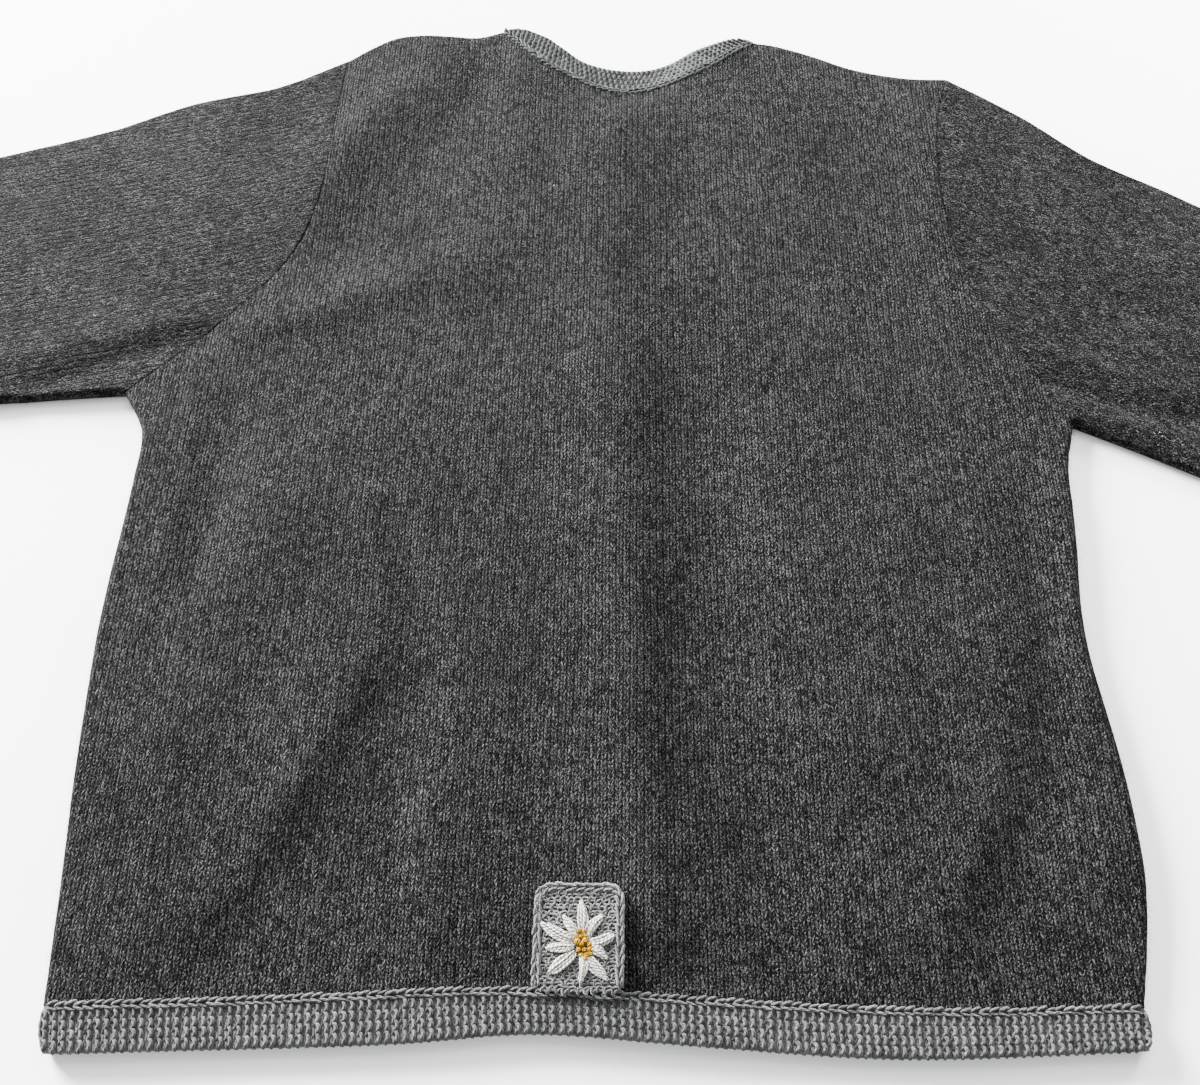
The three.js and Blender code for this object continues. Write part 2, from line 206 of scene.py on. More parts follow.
# Narrow creases of the upper layer: path, how far each spreads to a side, and how far it rises, in mm.
CREASES = [
    ([(3, 400), (8, 300), (13, 225), (20, 140), (28, 60)], 19, 2.1),
    ([(60, 350), (64, 225), (70, 150), (88, 92)], 25, -2.5),
    ([(40, 560), (44, 490), (46, 440)], 22, 1.0),
    ([(212, 592), (210, 540), (212, 480)], 10, 0.6),
    ([(233, 600), (229, 543), (229, 481), (242, 426)], 10, -1.0),
    ([(46, 92), (60, 66), (78, 44)], 10, 1.1),
    ([(70, 96), (84, 72), (100, 52)], 10, -0.9),
    ([(-66, 632), (-62, 590), (-58, 545)], 12, 0.9),
    ([(-92, 628), (-92, 588), (-94, 549)], 13, -1.1),
    ([(-150, 606), (-174, 572), (-204, 520)], 11, 0.7),
    ([(-120, 600), (-146, 548), (-172, 490)], 14, 0.3),
    ([(-216, 404), (-146, 432), (-90, 458)], 13, 0.6),
    ([(-212, 386), (-166, 402), (-120, 420)], 12, -0.7),
    ([(-170, 452), (-140, 466), (-112, 486)], 8, -0.6),
    ([(-246, 350), (-244, 290), (-250, 210)], 8, 0.8),
    ([(-220, 345), (-218, 297), (-228, 230)], 12, -1.2),
    ([(-120, 272), (-109, 240), (-98, 208)], 10, -1.7),
    ([(-140, 284), (-132, 250), (-118, 214)], 9, 0.5),
    ([(-128, 182), (-140, 140), (-172, 84), (-196, 46)], 8, 0.4),
    ([(-116, 176), (-134, 124), (-160, 76), (-182, 40)], 9, -0.7),
    ([(-98, 160), (-106, 124), (-116, 80), (-120, 44)], 17, -1.8),
    ([(-134, 172), (-156, 112), (-184, 50)], 14, 0.9),
    ([(-124, 104), (-132, 70), (-136, 34)], 7, 0.4),
    ([(-101, 110), (-99, 70), (-98, 34)], 9, -1.3),
    ([(-80, 112), (-80, 70), (-82, 34)], 10, 1.0),
    ([(94, 130), (106, 112), (122, 98)], 12, -0.6),
    ([(236, 276), (242, 236), (239, 187), (236, 140)], 9, -0.9),
    ([(258, 290), (258, 230), (254, 160), (258, 90)], 9, 0.9),
    ([(232, 128), (212, 92), (190, 54)], 11, -0.6),
    ([(206, 136), (190, 100), (172, 58)], 10, 0.8),
    ([(186, 248), (196, 236), (210, 232)], 9, -0.8),
    ([(266, 394), (300, 380), (352, 360)], 8, 1.1),
    ([(266, 371), (300, 357), (352, 342)], 7, -1.6),
    ([(276, 349), (302, 342), (350, 322)], 7, 1.5),
    ([(300, 322), (326, 308), (350, 296)], 7, -0.9),
    ([(270, 448), (320, 452), (366, 452)], 12, 0.7),
    ([(262, 420), (316, 420), (360, 424)], 12, -0.7),
    ([(244, 600), (242, 545), (246, 480)], 10, 0.6),
    ([(-392, 372), (-350, 378), (-318, 394), (-276, 404)], 9, 0.9),
    ([(-350, 354), (-322, 366), (-286, 384), (-244, 398)], 8, -1.4),
    ([(-300, 352), (-330, 350), (-372, 350)], 6, 0.8),
    ([(-250, 600), (-270, 540), (-262, 470)], 14, 0.5),
    ([(-330, 560), (-336, 480), (-316, 430)], 14, -0.5),
    ([(-470, 360), (-490, 400), (-540, 430)], 13, -0.8),
    ([(-640, 446), (-610, 400), (-600, 360)], 12, 0.7),
    ([(470, 260), (480, 320), (520, 360)], 13, -0.8),
    ([(600, 340), (596, 280), (580, 230)], 12, 0.7),
]


def crease_height(points, crease):
    """Height that one crease adds at each point."""
    path, spread, rise = crease
    nearest = np.full(len(points), np.inf)
    for start, end in zip(path, path[1:]):
        a, b = place(*start), place(*end)
        share = np.clip(((points - a) @ (b - a)) / ((b - a) @ (b - a)), 0, 1)
        gaps = points - a - share[:, None] * (b - a)
        nearest = np.minimum(nearest, np.hypot(gaps[:, 0], gaps[:, 1]))
    return rise * MM * np.exp(-((nearest / (spread * MM)) ** 2))


cad_top = top_of_cad(5 * MM)
billow = noise_field(46 * MM, 3)
ripple = noise_field(17 * MM, 4)
drift_x = noise_field(38 * MM, 5)
drift_y = noise_field(30 * MM, 6)
BILLOW = 0.28 * MM  # height of the broad unevenness of the cloth
RIPPLE = 0.16 * MM  # height of the fine unevenness
DRIFT = 0.5 * MM  # how far stitches stray from a true lattice
LEAST_TOP = 2.4 * MM  # the upper surface is nowhere lower
LOW_CLOTH = 2.6 * MM  # cloth this low lies flat, without creases
LOW_RAMP = 3 * MM  # height over which the creases come in


def top(points):
    """Height of the cloth's upper surface at each plan point."""
    points = np.asarray(points)[:, :2]
    base = cad_top(points)
    extra = sum(crease_height(points, crease) for crease in CREASES)
    extra = extra + BILLOW * billow(points) + RIPPLE * ripple(points)
    free = np.clip((base - LOW_CLOTH) / LOW_RAMP, 0, 1)
    return np.maximum(base + extra * free, LEAST_TOP)


# --- Outlines ---

CORNER = math.radians(30)  # an outline that turns more than this has a corner
NEAR = 5 * MM  # CAD points closer than this are steps of a rounded edge, and are dropped
RAMP = 4 * MM  # along which a seam stops rolling in, near a fold
CAD_WELD = 0.001 * MM  # CAD points closer than this are one
WELD = 0.002 * MM  # points of two walls closer than this become one
SIDE_FACE = 0.02  # least upright part of the normal of a face on the outer side
FOLD_FACE = 0.7  # faces that are steeper than this are on a fold


def cad_loop(node, facing):
    """The plan outline of a CAD node's outer side, anticlockwise, and which of its edges are folds."""
    bm = bmesh.new()
    bm.from_mesh(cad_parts[node].data)
    bmesh.ops.remove_doubles(bm, verts=bm.verts, dist=CAD_WELD)
    bm.normal_update()
    side = {f for f in bm.faces if f.normal.z * facing > SIDE_FACE}
    groups = []
    while side:
        group, front = set(), [side.pop()]
        while front:
            face = front.pop()
            group.add(face)
            for other in (f for e in face.edges for f in e.link_faces if f in side):
                side.discard(other)
                front.append(other)
        groups.append(group)
    chosen = max(groups, key=lambda g: facing * sum(f.calc_center_median().z for f in g) / len(g))
    following, fold = {}, {}
    for face in sorted(chosen, key=lambda f: f.index):
        for loop in face.loops:
            if sum(f in chosen for f in loop.edge.link_faces) == 1:
                a, b = loop.vert, loop.link_loop_next.vert
                if facing < 0:
                    a, b = b, a
                following[a] = b
                fold[a] = abs(face.normal.z) < FOLD_FACE
    start = vert = next(iter(following))
    points, folds = [], []
    while True:
        points.append((vert.co.x, vert.co.y))
        folds.append(fold[vert])
        vert = following[vert]
        if vert is start:
            break
    bm.free()
    return np.array(points), np.array(folds)


def distances(path):
    """How far along a plan path each of its points is."""
    return np.concatenate([[0], np.cumsum(np.hypot(*np.diff(path, axis=0).T))])


def path_length(path):
    """Length of a plan path."""
    return distances(path)[-1]


def spaced(points, count=None):
    """The same path with points evenly spaced along it, EDGE_STEP apart where no count is given."""
    run = distances(points)
    number = count or max(2, int(round(run[-1] / EDGE_STEP)) + 1)
    where = np.linspace(0, run[-1], number)
    return np.stack([np.interp(where, run, points[:, k]) for k in (0, 1)], axis=1)


def plan_tree(points):
    """A search tree over plan points."""
    tree = kdtree.KDTree(len(points))
    for i, (x, y) in enumerate(points):
        tree.insert((x, y, 0), i)
    tree.balance()
    return tree


def curved(points, samples=16):
    """A smooth path through the points (centripetal Catmull-Rom)."""
    if len(points) < 3:
        return points
    ends = np.vstack([2 * points[0] - points[1], points, 2 * points[-1] - points[-2]])
    knots = np.concatenate([[0], np.cumsum(np.sqrt(np.hypot(*np.diff(ends, axis=0).T)))])
    made = [points[0]]
    for i in range(1, len(ends) - 2):
        for t in np.linspace(knots[i], knots[i + 1], samples + 1)[1:]:
            a = [ends[k] + (ends[k + 1] - ends[k]) * (t - knots[k]) / (knots[k + 1] - knots[k])
                 for k in (i - 1, i, i + 1)]
            b = [a[k] + (a[k + 1] - a[k]) * (t - knots[i - 1 + k]) / (knots[i + 1 + k] - knots[i - 1 + k])
                 for k in (0, 1)]
            made.append(b[0] + (b[1] - b[0]) * (t - knots[i]) / (knots[i + 1] - knots[i]))
    return np.array(made)


class Outline:
    """A closed plan outline, anticlockwise, in runs between corners.

    points    plan points
    inward    unit plan direction at each point
    clear     distance along the outline to the nearest corner
    on_fold   whether each point lies on a fold
    folded    whether the edge that starts at each point lies on a fold
    fold      1 on a fold, 0 on a seam or free edge, with a ramp where they meet
    runs      (first point, last point, is a fold) of each run
    """

    def __init__(self, node, facing=1, sharpest_curve=CORNER):
        points, folds = cad_loop(node, facing)
        corners = self.corners(points, sharpest_curve)
        pieces, flags = [], []
        for a, b in zip(corners, corners[1:] + [corners[0] + len(points)]):
            index = np.arange(a, b + 1) % len(points)
            run = points[index]
            inner = [k for k in range(1, len(run) - 1)
                     if min(np.hypot(*(run[k] - run[0])), np.hypot(*(run[k] - run[-1]))) > NEAR]
            run = run[[0] + inner + [len(run) - 1]]
            pieces.append(spaced(curved(run)))
            flags.append(np.mean(folds[index[:-1]]) > 0.5)
        self.runs, start = [], 0
        for piece, flag in zip(pieces, flags):
            self.runs.append((start, start + len(piece) - 1, flag))
            start += len(piece) - 1
        self.points = np.vstack([piece[:-1] for piece in pieces])
        self.measure()

    @staticmethod
    def corners(points, sharpest_curve):
        """Indices of the points where the outline turns sharply, looking past its closest steps."""
        found = []
        count = len(points)
        for i in range(count):
            around = np.roll(points, -i, axis=0) - points[i]
            far = np.nonzero(np.hypot(*around.T) > NEAR)[0]
            a, b = -around[far[-1]], around[far[0]]
            turn = abs(math.atan2(a[0] * b[1] - a[1] * b[0], a @ b))
            if turn > sharpest_curve:
                found.append((turn, i))
        kept = []
        for _, i in sorted(found, reverse=True):
            if all(np.hypot(*(points[i] - points[k])) > NEAR for k in kept):
                kept.append(i)
        return sorted(kept)

    def measure(self):
        """Works out which way is inward at each point, and how far it is from corners and folds."""
        count = len(self.points)
        ahead = np.roll(self.points, -1, axis=0) - self.points
        lengths = np.hypot(*ahead.T)
        ahead /= lengths[:, None]
        leftward = np.stack([-ahead[:, 1], ahead[:, 0]], axis=1)
        inward = leftward + np.roll(leftward, 1, axis=0)
        self.inward = inward / np.hypot(*inward.T)[:, None]
        run = np.concatenate([[0], np.cumsum(lengths)])
        total, at = run[-1], run[:-1]

        def gap_to(marks):
            """Distance along the loop from each point to the nearest mark."""
            return np.abs((at[:, None] - marks[None] + total / 2) % total - total / 2).min(1)

        self.clear = gap_to(np.array([at[first] for first, _, _ in self.runs]))
        self.on_fold = np.zeros(count, bool)
        self.folded = np.zeros(count, bool)
        for first, last, flag in self.runs:
            if flag:
                self.folded[first:last] = True
                self.on_fold[np.arange(first, last + 1) % count] = True
        self.fold = np.zeros(count)
        if self.on_fold.any():
            ramp = np.clip(1 - gap_to(at[self.on_fold]) / RAMP, 0, 1)
            self.fold = ramp * ramp * (3 - 2 * ramp)

    def fold_gap(self, points):
        """Distance from each plan point to the nearest fold, and the index of a fold point near it."""
        starts = np.nonzero(self.folded)[0]
        if not len(starts):
            return np.full(len(points), np.inf), np.zeros(len(points), int)
        a = self.points[starts]
        b = self.points[(starts + 1) % len(self.points)]
        tree = plan_tree((a + b) / 2)
        nearest = np.array([tree.find((p[0], p[1], 0))[1] for p in points])
        gap = np.full(len(points), np.inf)
        for k in (-1, 0, 1):
            side = np.clip(nearest + k, 0, len(starts) - 1)
            edge = b[side] - a[side]
            share = np.clip(np.sum((points - a[side]) * edge, axis=1) / np.sum(edge * edge, axis=1), 0, 1)
            away = points - a[side] - share[:, None] * edge
            gap = np.minimum(gap, np.hypot(away[:, 0], away[:, 1]))
        return gap, starts[nearest]

    def run(self, number):
        """The plan points of one run, both ends included."""
        first, last, _ = self.runs[number]
        return self.points[np.arange(first, last + 1) % len(self.points)]

    def long_sides(self):
        """A band's seam side and its free side, both in the same direction, with the folds left out."""
        sides = [[]]
        start = next(i for i, (_, _, flag) in enumerate(self.runs) if flag)
        for k in range(1, len(self.runs) + 1):
            number = (start + k) % len(self.runs)
            if self.runs[number][2]:
                sides.append([])
            else:
                sides[-1].append(self.run(number))
        sides = [side for side in sides if side]
        if len(sides) == 1:
            sides = [[part] for part in sides[0]]
        sides = [np.vstack([part[:-1] for part in side] + [side[-1][-1:]]) for side in sides]
        seam, free = sorted(sides, key=lambda side: np.hypot(*(side.mean(0) - BODY_MIDDLE)))
        return seam, free[::-1]


# --- Shells ---


class Weave:
    """How stitches lie on a piece: where wale 0 starts and which way the wales run."""

    def __init__(self, origin, heading):
        self.origin = np.asarray(origin)
        self.along = np.array([math.cos(heading), math.sin(heading)])
        self.across = np.array([self.along[1], -self.along[0]])

    def plan(self, across, along):
        """Plan points of lattice points, with the slow drift of real stitches."""
        points = self.origin + np.outer(across, self.across) + np.outer(along, self.along)
        points[:, 0] += DRIFT * drift_x(points)
        points[:, 1] += DRIFT * drift_y(points)
        return points

    def stitches(self, points):
        """Wale and course at plan points, as numbers of stitches."""
        plain = points.copy()
        plain[:, 0] -= DRIFT * drift_x(points)
        plain[:, 1] -= DRIFT * drift_y(points)
        plain -= self.origin
        return np.stack([plain @ self.across / WALE, plain @ self.along / COURSE], axis=1)


def rib(wale):
    """Relief across the wales: deep between them, with a slight dip along the middle of each."""
    return RIB_HEIGHT * (-0.8 * np.cos(2 * math.pi * wale) - 0.35 * np.cos(4 * math.pi * wale))


def lattice(weave, outline, across_step, along_step):
    """Lattice points of a weave over the box of an outline."""
    low, high = outline.min(0), outline.max(0)
    corners = np.array([[x, y] for x in (low[0], high[0]) for y in (low[1], high[1])]) - weave.origin
    s, t = corners @ weave.across, corners @ weave.along
    across, along = (
        np.arange(math.floor(reach.min() / step), math.ceil(reach.max() / step) + 1) * step
        for reach, step in ((s, across_step), (t, along_step)))
    grid = np.stack(np.meshgrid(across, along, indexing="ij"), axis=-1).reshape(-1, 2)
    return grid, weave.plan(grid[:, 0], grid[:, 1])


def fill(edge, inner_points, clearance):
    """Triangles inside a closed edge. Returns the kept inner points' indices and the faces, in which
    the edge's points come first."""
    tree = plan_tree(edge)
    far = np.array([tree.find((p[0], p[1], 0))[2] > clearance for p in inner_points])
    kept = np.nonzero(far)[0]
    points = [Vector(p) for p in edge] + [Vector(p) for p in inner_points[kept]]
    ring = [(i, (i + 1) % len(edge)) for i in range(len(edge))]
    made, _, faces, sources, _, _ = delaunay_2d_cdt(points, ring, [], 1, 1e-9)
    first = [group[0] if group else tree.find((made[k].x, made[k].y, 0))[1]
             for k, group in enumerate(sources)]
    triangles = np.array([[first[v] for v in face] for face in faces])
    a, b, c = triangles.T
    triangles = triangles[(a != b) & (b != c) & (a != c)]
    used = np.unique(triangles[triangles >= len(edge)])
    renumber = np.arange(len(points))
    renumber[used] = len(edge) + np.arange(len(used))
    return kept[used - len(edge)], renumber[triangles]


FLAT_FROM = 3 * MM  # in from an outline, where the height of its edge is read
CORNER_INSET = 0.15 * MM  # how far an edge's rounding reaches in at a corner of the outline
CORNER_SLOPE = 0.4  # and how much further for each unit of distance from it
RIB_CLEARANCE = 0.6  # lattice steps kept clear inside an edge, on a ribbed side
PLAIN_CLEARANCE = 0.4  # and on a plain one


class Shell:
    """A wall of cloth inside an outline. The outer side shows its ribs, and the inner side is plain.

    wall        thickness
    above       True for the upper layer, which follows `top`, False for the lower, which lies flat
    gap         between the two layers at a fold, or 0 where they are welded
    ribs        height of the ribs as a share of RIB_HEIGHT, or 0 for a plain outer side
    plain_step  lattice of a plain side
    rise        of the outer side above `top`
    roll        radius to which a seam's edge rolls in
    """

    OUTER_STEPS = 5  # of the rounding of an edge
    INNER_STEPS = 2

    def __init__(self, outline, wall, weave, above=True, gap=0.0, ribs=1, plain_step=COARSE, rise=0.0,
                 roll=SEAM_ROLL):
        self.vertices, self.stitches, self.faces = [], [], []
        self.count = 0
        self.outline, self.wall, self.weave = outline, wall, weave
        self.above, self.gap, self.ribs, self.rise = above, gap, ribs, rise
        self.sign = 1 if above else -1
        self.level = self.flat_level(outline.points + outline.inward * FLAT_FROM)
        self.radius = self.level / 2
        limit = CORNER_INSET + CORNER_SLOPE * outline.clear
        inset = np.minimum(np.where(outline.on_fold, self.radius, roll), limit)
        seam_roll = np.where(outline.on_fold, 0, np.minimum(roll, limit)) * (1 - outline.fold)
        outer = self.outer_side(inset, seam_roll, plain_step)
        inner = self.inner_side(inset, plain_step)
        self.close(outer, inner)
        if not above:
            self.faces = [face[:, ::-1] for face in self.faces]

    def flat_level(self, points):
        """Height of the outer side where no fold bends it."""
        return top(points) + self.rise

    def fold_drop(self, points, within=0.0):
        """How far the cloth has bent down at each point, on a round fold that is `within` smaller."""
        distance, nearest = self.outline.fold_gap(points)
        bend = self.radius[nearest]
        inner = bend - within
        return inner - np.sqrt(np.maximum(inner**2 - np.maximum(bend - distance, 0) ** 2, 0))

    def outer_side(self, inset, seam_roll, plain_step):
        """Adds the side that shows. Returns where each row of its edge starts."""
        outline = self.outline
        edge = outline.points + outline.inward * inset[:, None]
        rows = []
        for k in range(self.OUTER_STEPS + 1):
            angle = (math.pi / 2) * (1 - k / self.OUTER_STEPS)
            sine = math.sin(angle)
            points = outline.points + outline.inward * (inset * (1 - sine))[:, None]
            unrolled = edge - outline.inward * (inset * np.where(outline.on_fold, angle, sine))[:, None]
            stitches = self.weave.stitches(unrolled)
            heights = self.level - self.fold_drop(points) - seam_roll * (1 - math.cos(angle))
            push = 0.0
            if self.ribs and k > 0:
                relief = self.ribs * rib(stitches[:, 0])
                points = points - outline.inward * (relief * sine)[:, None]
                push = relief * math.cos(angle)
            rows.append(self.ring(points, heights, stitches, lowest=k == 0, push=push))
        steps = (WALE / RIB_SAMPLES, ROW) if self.ribs else (plain_step, plain_step)
        clearance = (RIB_CLEARANCE if self.ribs else PLAIN_CLEARANCE) * steps[0]
        self.middle(rows, edge, steps, clearance, depth=0.0, ribs=self.ribs)
        return rows

    def inner_side(self, inset, plain_step):
        """Adds the hidden side. Returns where each row of its edge starts."""
        outline = self.outline
        thin = np.minimum(self.wall, inset)
        rows = []
        for k in range(self.INNER_STEPS + 1):
            angle = (math.pi / 2) * (1 - k / self.INNER_STEPS)
            in_by = np.where(outline.on_fold, inset + (thin - inset) * math.sin(angle), 0)
            points = outline.points + outline.inward * in_by[:, None]
            heights = self.level - self.wall - self.fold_drop(points, self.wall)
            rows.append(self.ring(points, heights, self.weave.stitches(points), lowest=k == 0))
        edge = outline.points + outline.inward * np.where(outline.on_fold, inset, 0)[:, None]
        self.middle(rows, edge, (plain_step, plain_step), PLAIN_CLEARANCE * plain_step, depth=self.wall,
                    flip=True)
        return rows

    def ring(self, points, heights, stitches, lowest, push=0.0):
        """Adds a row along the outline, above the middle of its folds. The lowest row ends there."""
        on_fold = self.outline.on_fold
        least = self.radius + np.where(on_fold, self.gap / 2, max(self.gap / 2, SEAM_APART))
        heights = np.maximum(heights, least)
        if lowest:
            heights = np.where(on_fold, least, heights)
        heights = heights if self.above else self.level - heights
        base = self.count
        self.add(np.column_stack([points, heights + self.sign * push]), stitches)
        return base

    def middle(self, rows, edge, steps, clearance, depth, ribs=0, flip=False):
        """Adds the lattice inside an edge, `depth` under the outer side, and all faces up to it."""
        grid, plan = lattice(self.weave, edge, *steps)
        kept, triangles = fill(edge, plan, clearance)
        inside, stitches = plan[kept], grid[kept] / np.array([WALE, COURSE])
        flat = self.flat_level(inside) if self.above else 0
        relief = ribs * rib(stitches[:, 0]) - depth - self.fold_drop(inside, depth)
        base = self.count
        self.add(np.column_stack([inside, flat + self.sign * relief]), stitches)
        self.quads(rows, flip)
        self.triangles(triangles, rows[-1], base, flip)

    def close(self, outer, inner):
        """Joins the two sides at the edge, except along welded folds."""
        closed = np.ones(len(self.outline.points), bool) if self.gap else ~self.outline.folded
        i = np.nonzero(closed)[0]
        j = (i + 1) % len(closed)
        self.faces.append(np.column_stack([inner[0] + i, inner[0] + j, outer[0] + j, outer[0] + i]))

    def add(self, vertices, stitches):
        """Adds vertices and where each lies in the knit."""
        self.vertices.append(vertices)
        self.stitches.append(stitches)
        self.count += len(vertices)

    def quads(self, rows, flip):
        """Joins each row of an edge to the next."""
        count = rows[1] - rows[0]
        i = np.arange(count)
        j = (i + 1) % count
        for a, b in zip(rows, rows[1:]):
            face = np.column_stack([a + i, a + j, b + j, b + i])
            self.faces.append(face[:, ::-1] if flip else face)

    def triangles(self, triangles, edge_base, lattice_base, flip):
        """Adds the faces that `fill` made, between the last row of an edge and a lattice."""
        edge_count = len(self.outline.points)
        on_lattice = lattice_base + triangles - edge_count
        face = np.where(triangles < edge_count, edge_base + triangles, on_lattice)
        self.faces.append(face[:, ::-1] if flip else face)


def mesh_object(name, vertices, faces, data, material, weld=False):
    """An object from points, faces and one vector for each point, which its material reads."""
    mesh = bpy.data.meshes.new(name)
    mesh.from_pydata(vertices.tolist(), [], [face.tolist() for group in faces for face in group])
    attribute = mesh.attributes.new("thread", "FLOAT_VECTOR", "POINT")
    padded = np.zeros((len(data), 3))
    padded[:, : data.shape[1]] = data
    attribute.data.foreach_set("vector", padded.ravel())
    if weld:
        bm = bmesh.new()
        bm.from_mesh(mesh)
        bmesh.ops.remove_doubles(bm, verts=bm.verts, dist=WELD)
        bm.to_mesh(mesh)
        bm.free()
    mesh.shade_smooth()
    mesh.materials.append(material)
    made = bpy.data.objects.new(name, mesh)
    bpy.context.scene.collection.objects.link(made)
    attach(made, "root")
    return made


def shell_object(name, shells, material, weld=False):
    """One object from one or more shells."""
    vertices, stitches, faces, base = [], [], [], 0
    for part in shells:
        vertices += part.vertices
        stitches += part.stitches
        faces += [group + base for group in part.faces]
        base += part.count
    return mesh_object(name, np.vstack(vertices), faces, np.vstack(stitches), material, weld)


# --- Yarn ---


class Yarn:
    """A growing mesh of yarn tubes. Its thread data holds millimetres along, turns round and chance."""

    def __init__(self):
        self.vertices, self.faces, self.data = [], [], []
        self.count = 0

    def lay(self, paths, radius, sides=6, tip=0.55):
        """Tubes along paths of shape (tubes, points, 3). The ends narrow to `tip` of the radius."""
        paths = np.asarray(paths, dtype=float)
        tubes, points, _ = paths.shape
        along = np.gradient(paths, axis=1)
        along /= np.linalg.norm(along, axis=2, keepdims=True)
        side = np.cross(along[:, 0], [0, 0, 1])
        weak = np.linalg.norm(side, axis=1) < 0.2
        side[weak] = np.cross(along[weak, 0], [0, 1, 0])
        sides_now = []
        for k in range(points):
            side = side - np.sum(side * along[:, k], axis=1, keepdims=True) * along[:, k]
            side /= np.linalg.norm(side, axis=1, keepdims=True)
            sides_now.append(side)
        side = np.stack(sides_now, axis=1)
        other = np.cross(along, side)
        turn = np.arange(sides) / sides
        angle = 2 * math.pi * turn
        widths = np.broadcast_to(np.asarray(radius, dtype=float), (tubes, points)).copy()
        widths[:, 0] *= tip
        widths[:, -1] *= tip
        ring = side[:, :, None] * np.cos(angle)[:, None] + other[:, :, None] * np.sin(angle)[:, None]
        made = paths[:, :, None] + ring * widths[:, :, None, None]
        made[..., 2] = np.maximum(made[..., 2], FLOOR_GAP)
        lengths = np.linalg.norm(np.diff(paths, axis=1), axis=2)
        travelled = np.concatenate([np.zeros((tubes, 1)), np.cumsum(lengths, axis=1)], axis=1) / MM
        data = np.empty((tubes, points, sides, 3))
        data[..., 0] = (travelled + rng.uniform(0, 9, (tubes, 1)))[:, :, None]
        data[..., 1] = 2 * np.abs(turn - 0.5)
        data[..., 2] = rng.uniform(0, 1, (tubes, 1, 1))
        index = self.count + np.arange(tubes * points * sides).reshape(tubes, points, sides)
        ahead = np.roll(index, -1, axis=2)
        quads = np.stack([index[:, :-1], ahead[:, :-1], ahead[:, 1:], index[:, 1:]], axis=-1)
        self.faces.append(quads.reshape(-1, 4))
        self.faces.append(index[:, 0, ::-1])
        self.faces.append(index[:, -1])
        self.vertices.append(made.reshape(-1, 3))
        self.data.append(data.reshape(-1, 3))
        self.count += tubes * points * sides

    def object(self, name, slot, material):
        """One object from all the tubes."""
        return mesh_object(name, np.vstack(self.vertices), self.faces, np.vstack(self.data), material)


HEADING_STEP = 1.5 * MM  # to each side, over which a path's direction is read


def along_path(path, where):
    """Points and unit directions at distances along a plan path."""
    run = distances(path)
    behind, at, ahead = (
        np.stack([np.interp(where + step, run, path[:, k]) for k in (0, 1)], axis=1)
        for step in (-HEADING_STEP, 0, HEADING_STEP))
    heading = ahead - behind
    return at, heading / np.hypot(*heading.T)[:, None]


CHAIN_LINK = 4.4 * MM
LEG_POINTS = 8
LEG_START = -0.1  # where a leg starts, in links from the start of its own
LEG_LENGTH = 1.38  # in links, so that it ends inside the next one


def chain(yarn, path, height, radius=0.78 * MM, half_width=1.7 * MM):
    """A chain stitch along a plan path: each link is two legs that close on the next link."""
    length = path_length(path)
    number = int(length / CHAIN_LINK)
    link = length / number
    share = np.linspace(0, 1, LEG_POINTS)
    for hand in (-1, 1):
        starts = np.arange(number) * link
        reach = (starts[:, None] + link * (LEG_LENGTH * share + LEG_START)).clip(0, length)
        at, heading = along_path(path, reach.ravel())
        across = np.stack([-heading[:, 1], heading[:, 0]], axis=1).reshape(number, LEG_POINTS, 2)
        open_by = half_width * (1 - share**1.7) * (1 + rng.uniform(-0.3, 0.3, (number, 1)))
        plan = at.reshape(number, LEG_POINTS, 2) + hand * across * open_by[:, :, None]
        lift = radius * (0.2 + 1.35 * np.sin(math.pi * (0.08 + 0.84 * share)))
        tops = height(plan.reshape(-1, 2)).reshape(number, LEG_POINTS) + lift
        tops = tops + rng.uniform(-0.25, 0.25, (number, 1)) * MM
        yarn.lay(np.dstack([plan, tops]), radius * rng.uniform(0.8, 1.15, (number, 1)))


RIDGE_PITCH = 4.06 * MM
RIDGE_LOOP = 4.1 * MM
LOOP_STEPS = 7
LOOP_BULGE = 1.55 * MM  # how far a loop leans to the side
LOOP_RISE = 0.95 * MM
RIDGE_SUNK = 0.35 * MM  # how far the ends of a loop lie below the top of the band
WEAK_SUNK = 0.75 * MM  # how much deeper the weak ridges lie, between the strong ones
RIDGE_RADIUS = 0.92 * MM
WEAK_RADIUS = 0.85  # share of that for the weak ridges
START_INSET = 2.4 * MM  # from the seam to a ridge's first loop
END_INSET = 0.9 * MM  # from a ridge's last loop to the free edge
CORNER_ROUND = 7 * MM  # how far from a band's end its ridges are shorter, which rounds its corner
CORNER_CUT = 2.6 * MM  # by how much, at the very end
TAIL_REACH = 1.0 * MM  # how far a ridge goes on past its last loop, where it bends down
BASE_DROP = 0.9 * MM  # the band's backing lies this much lower than the tops of its ridges


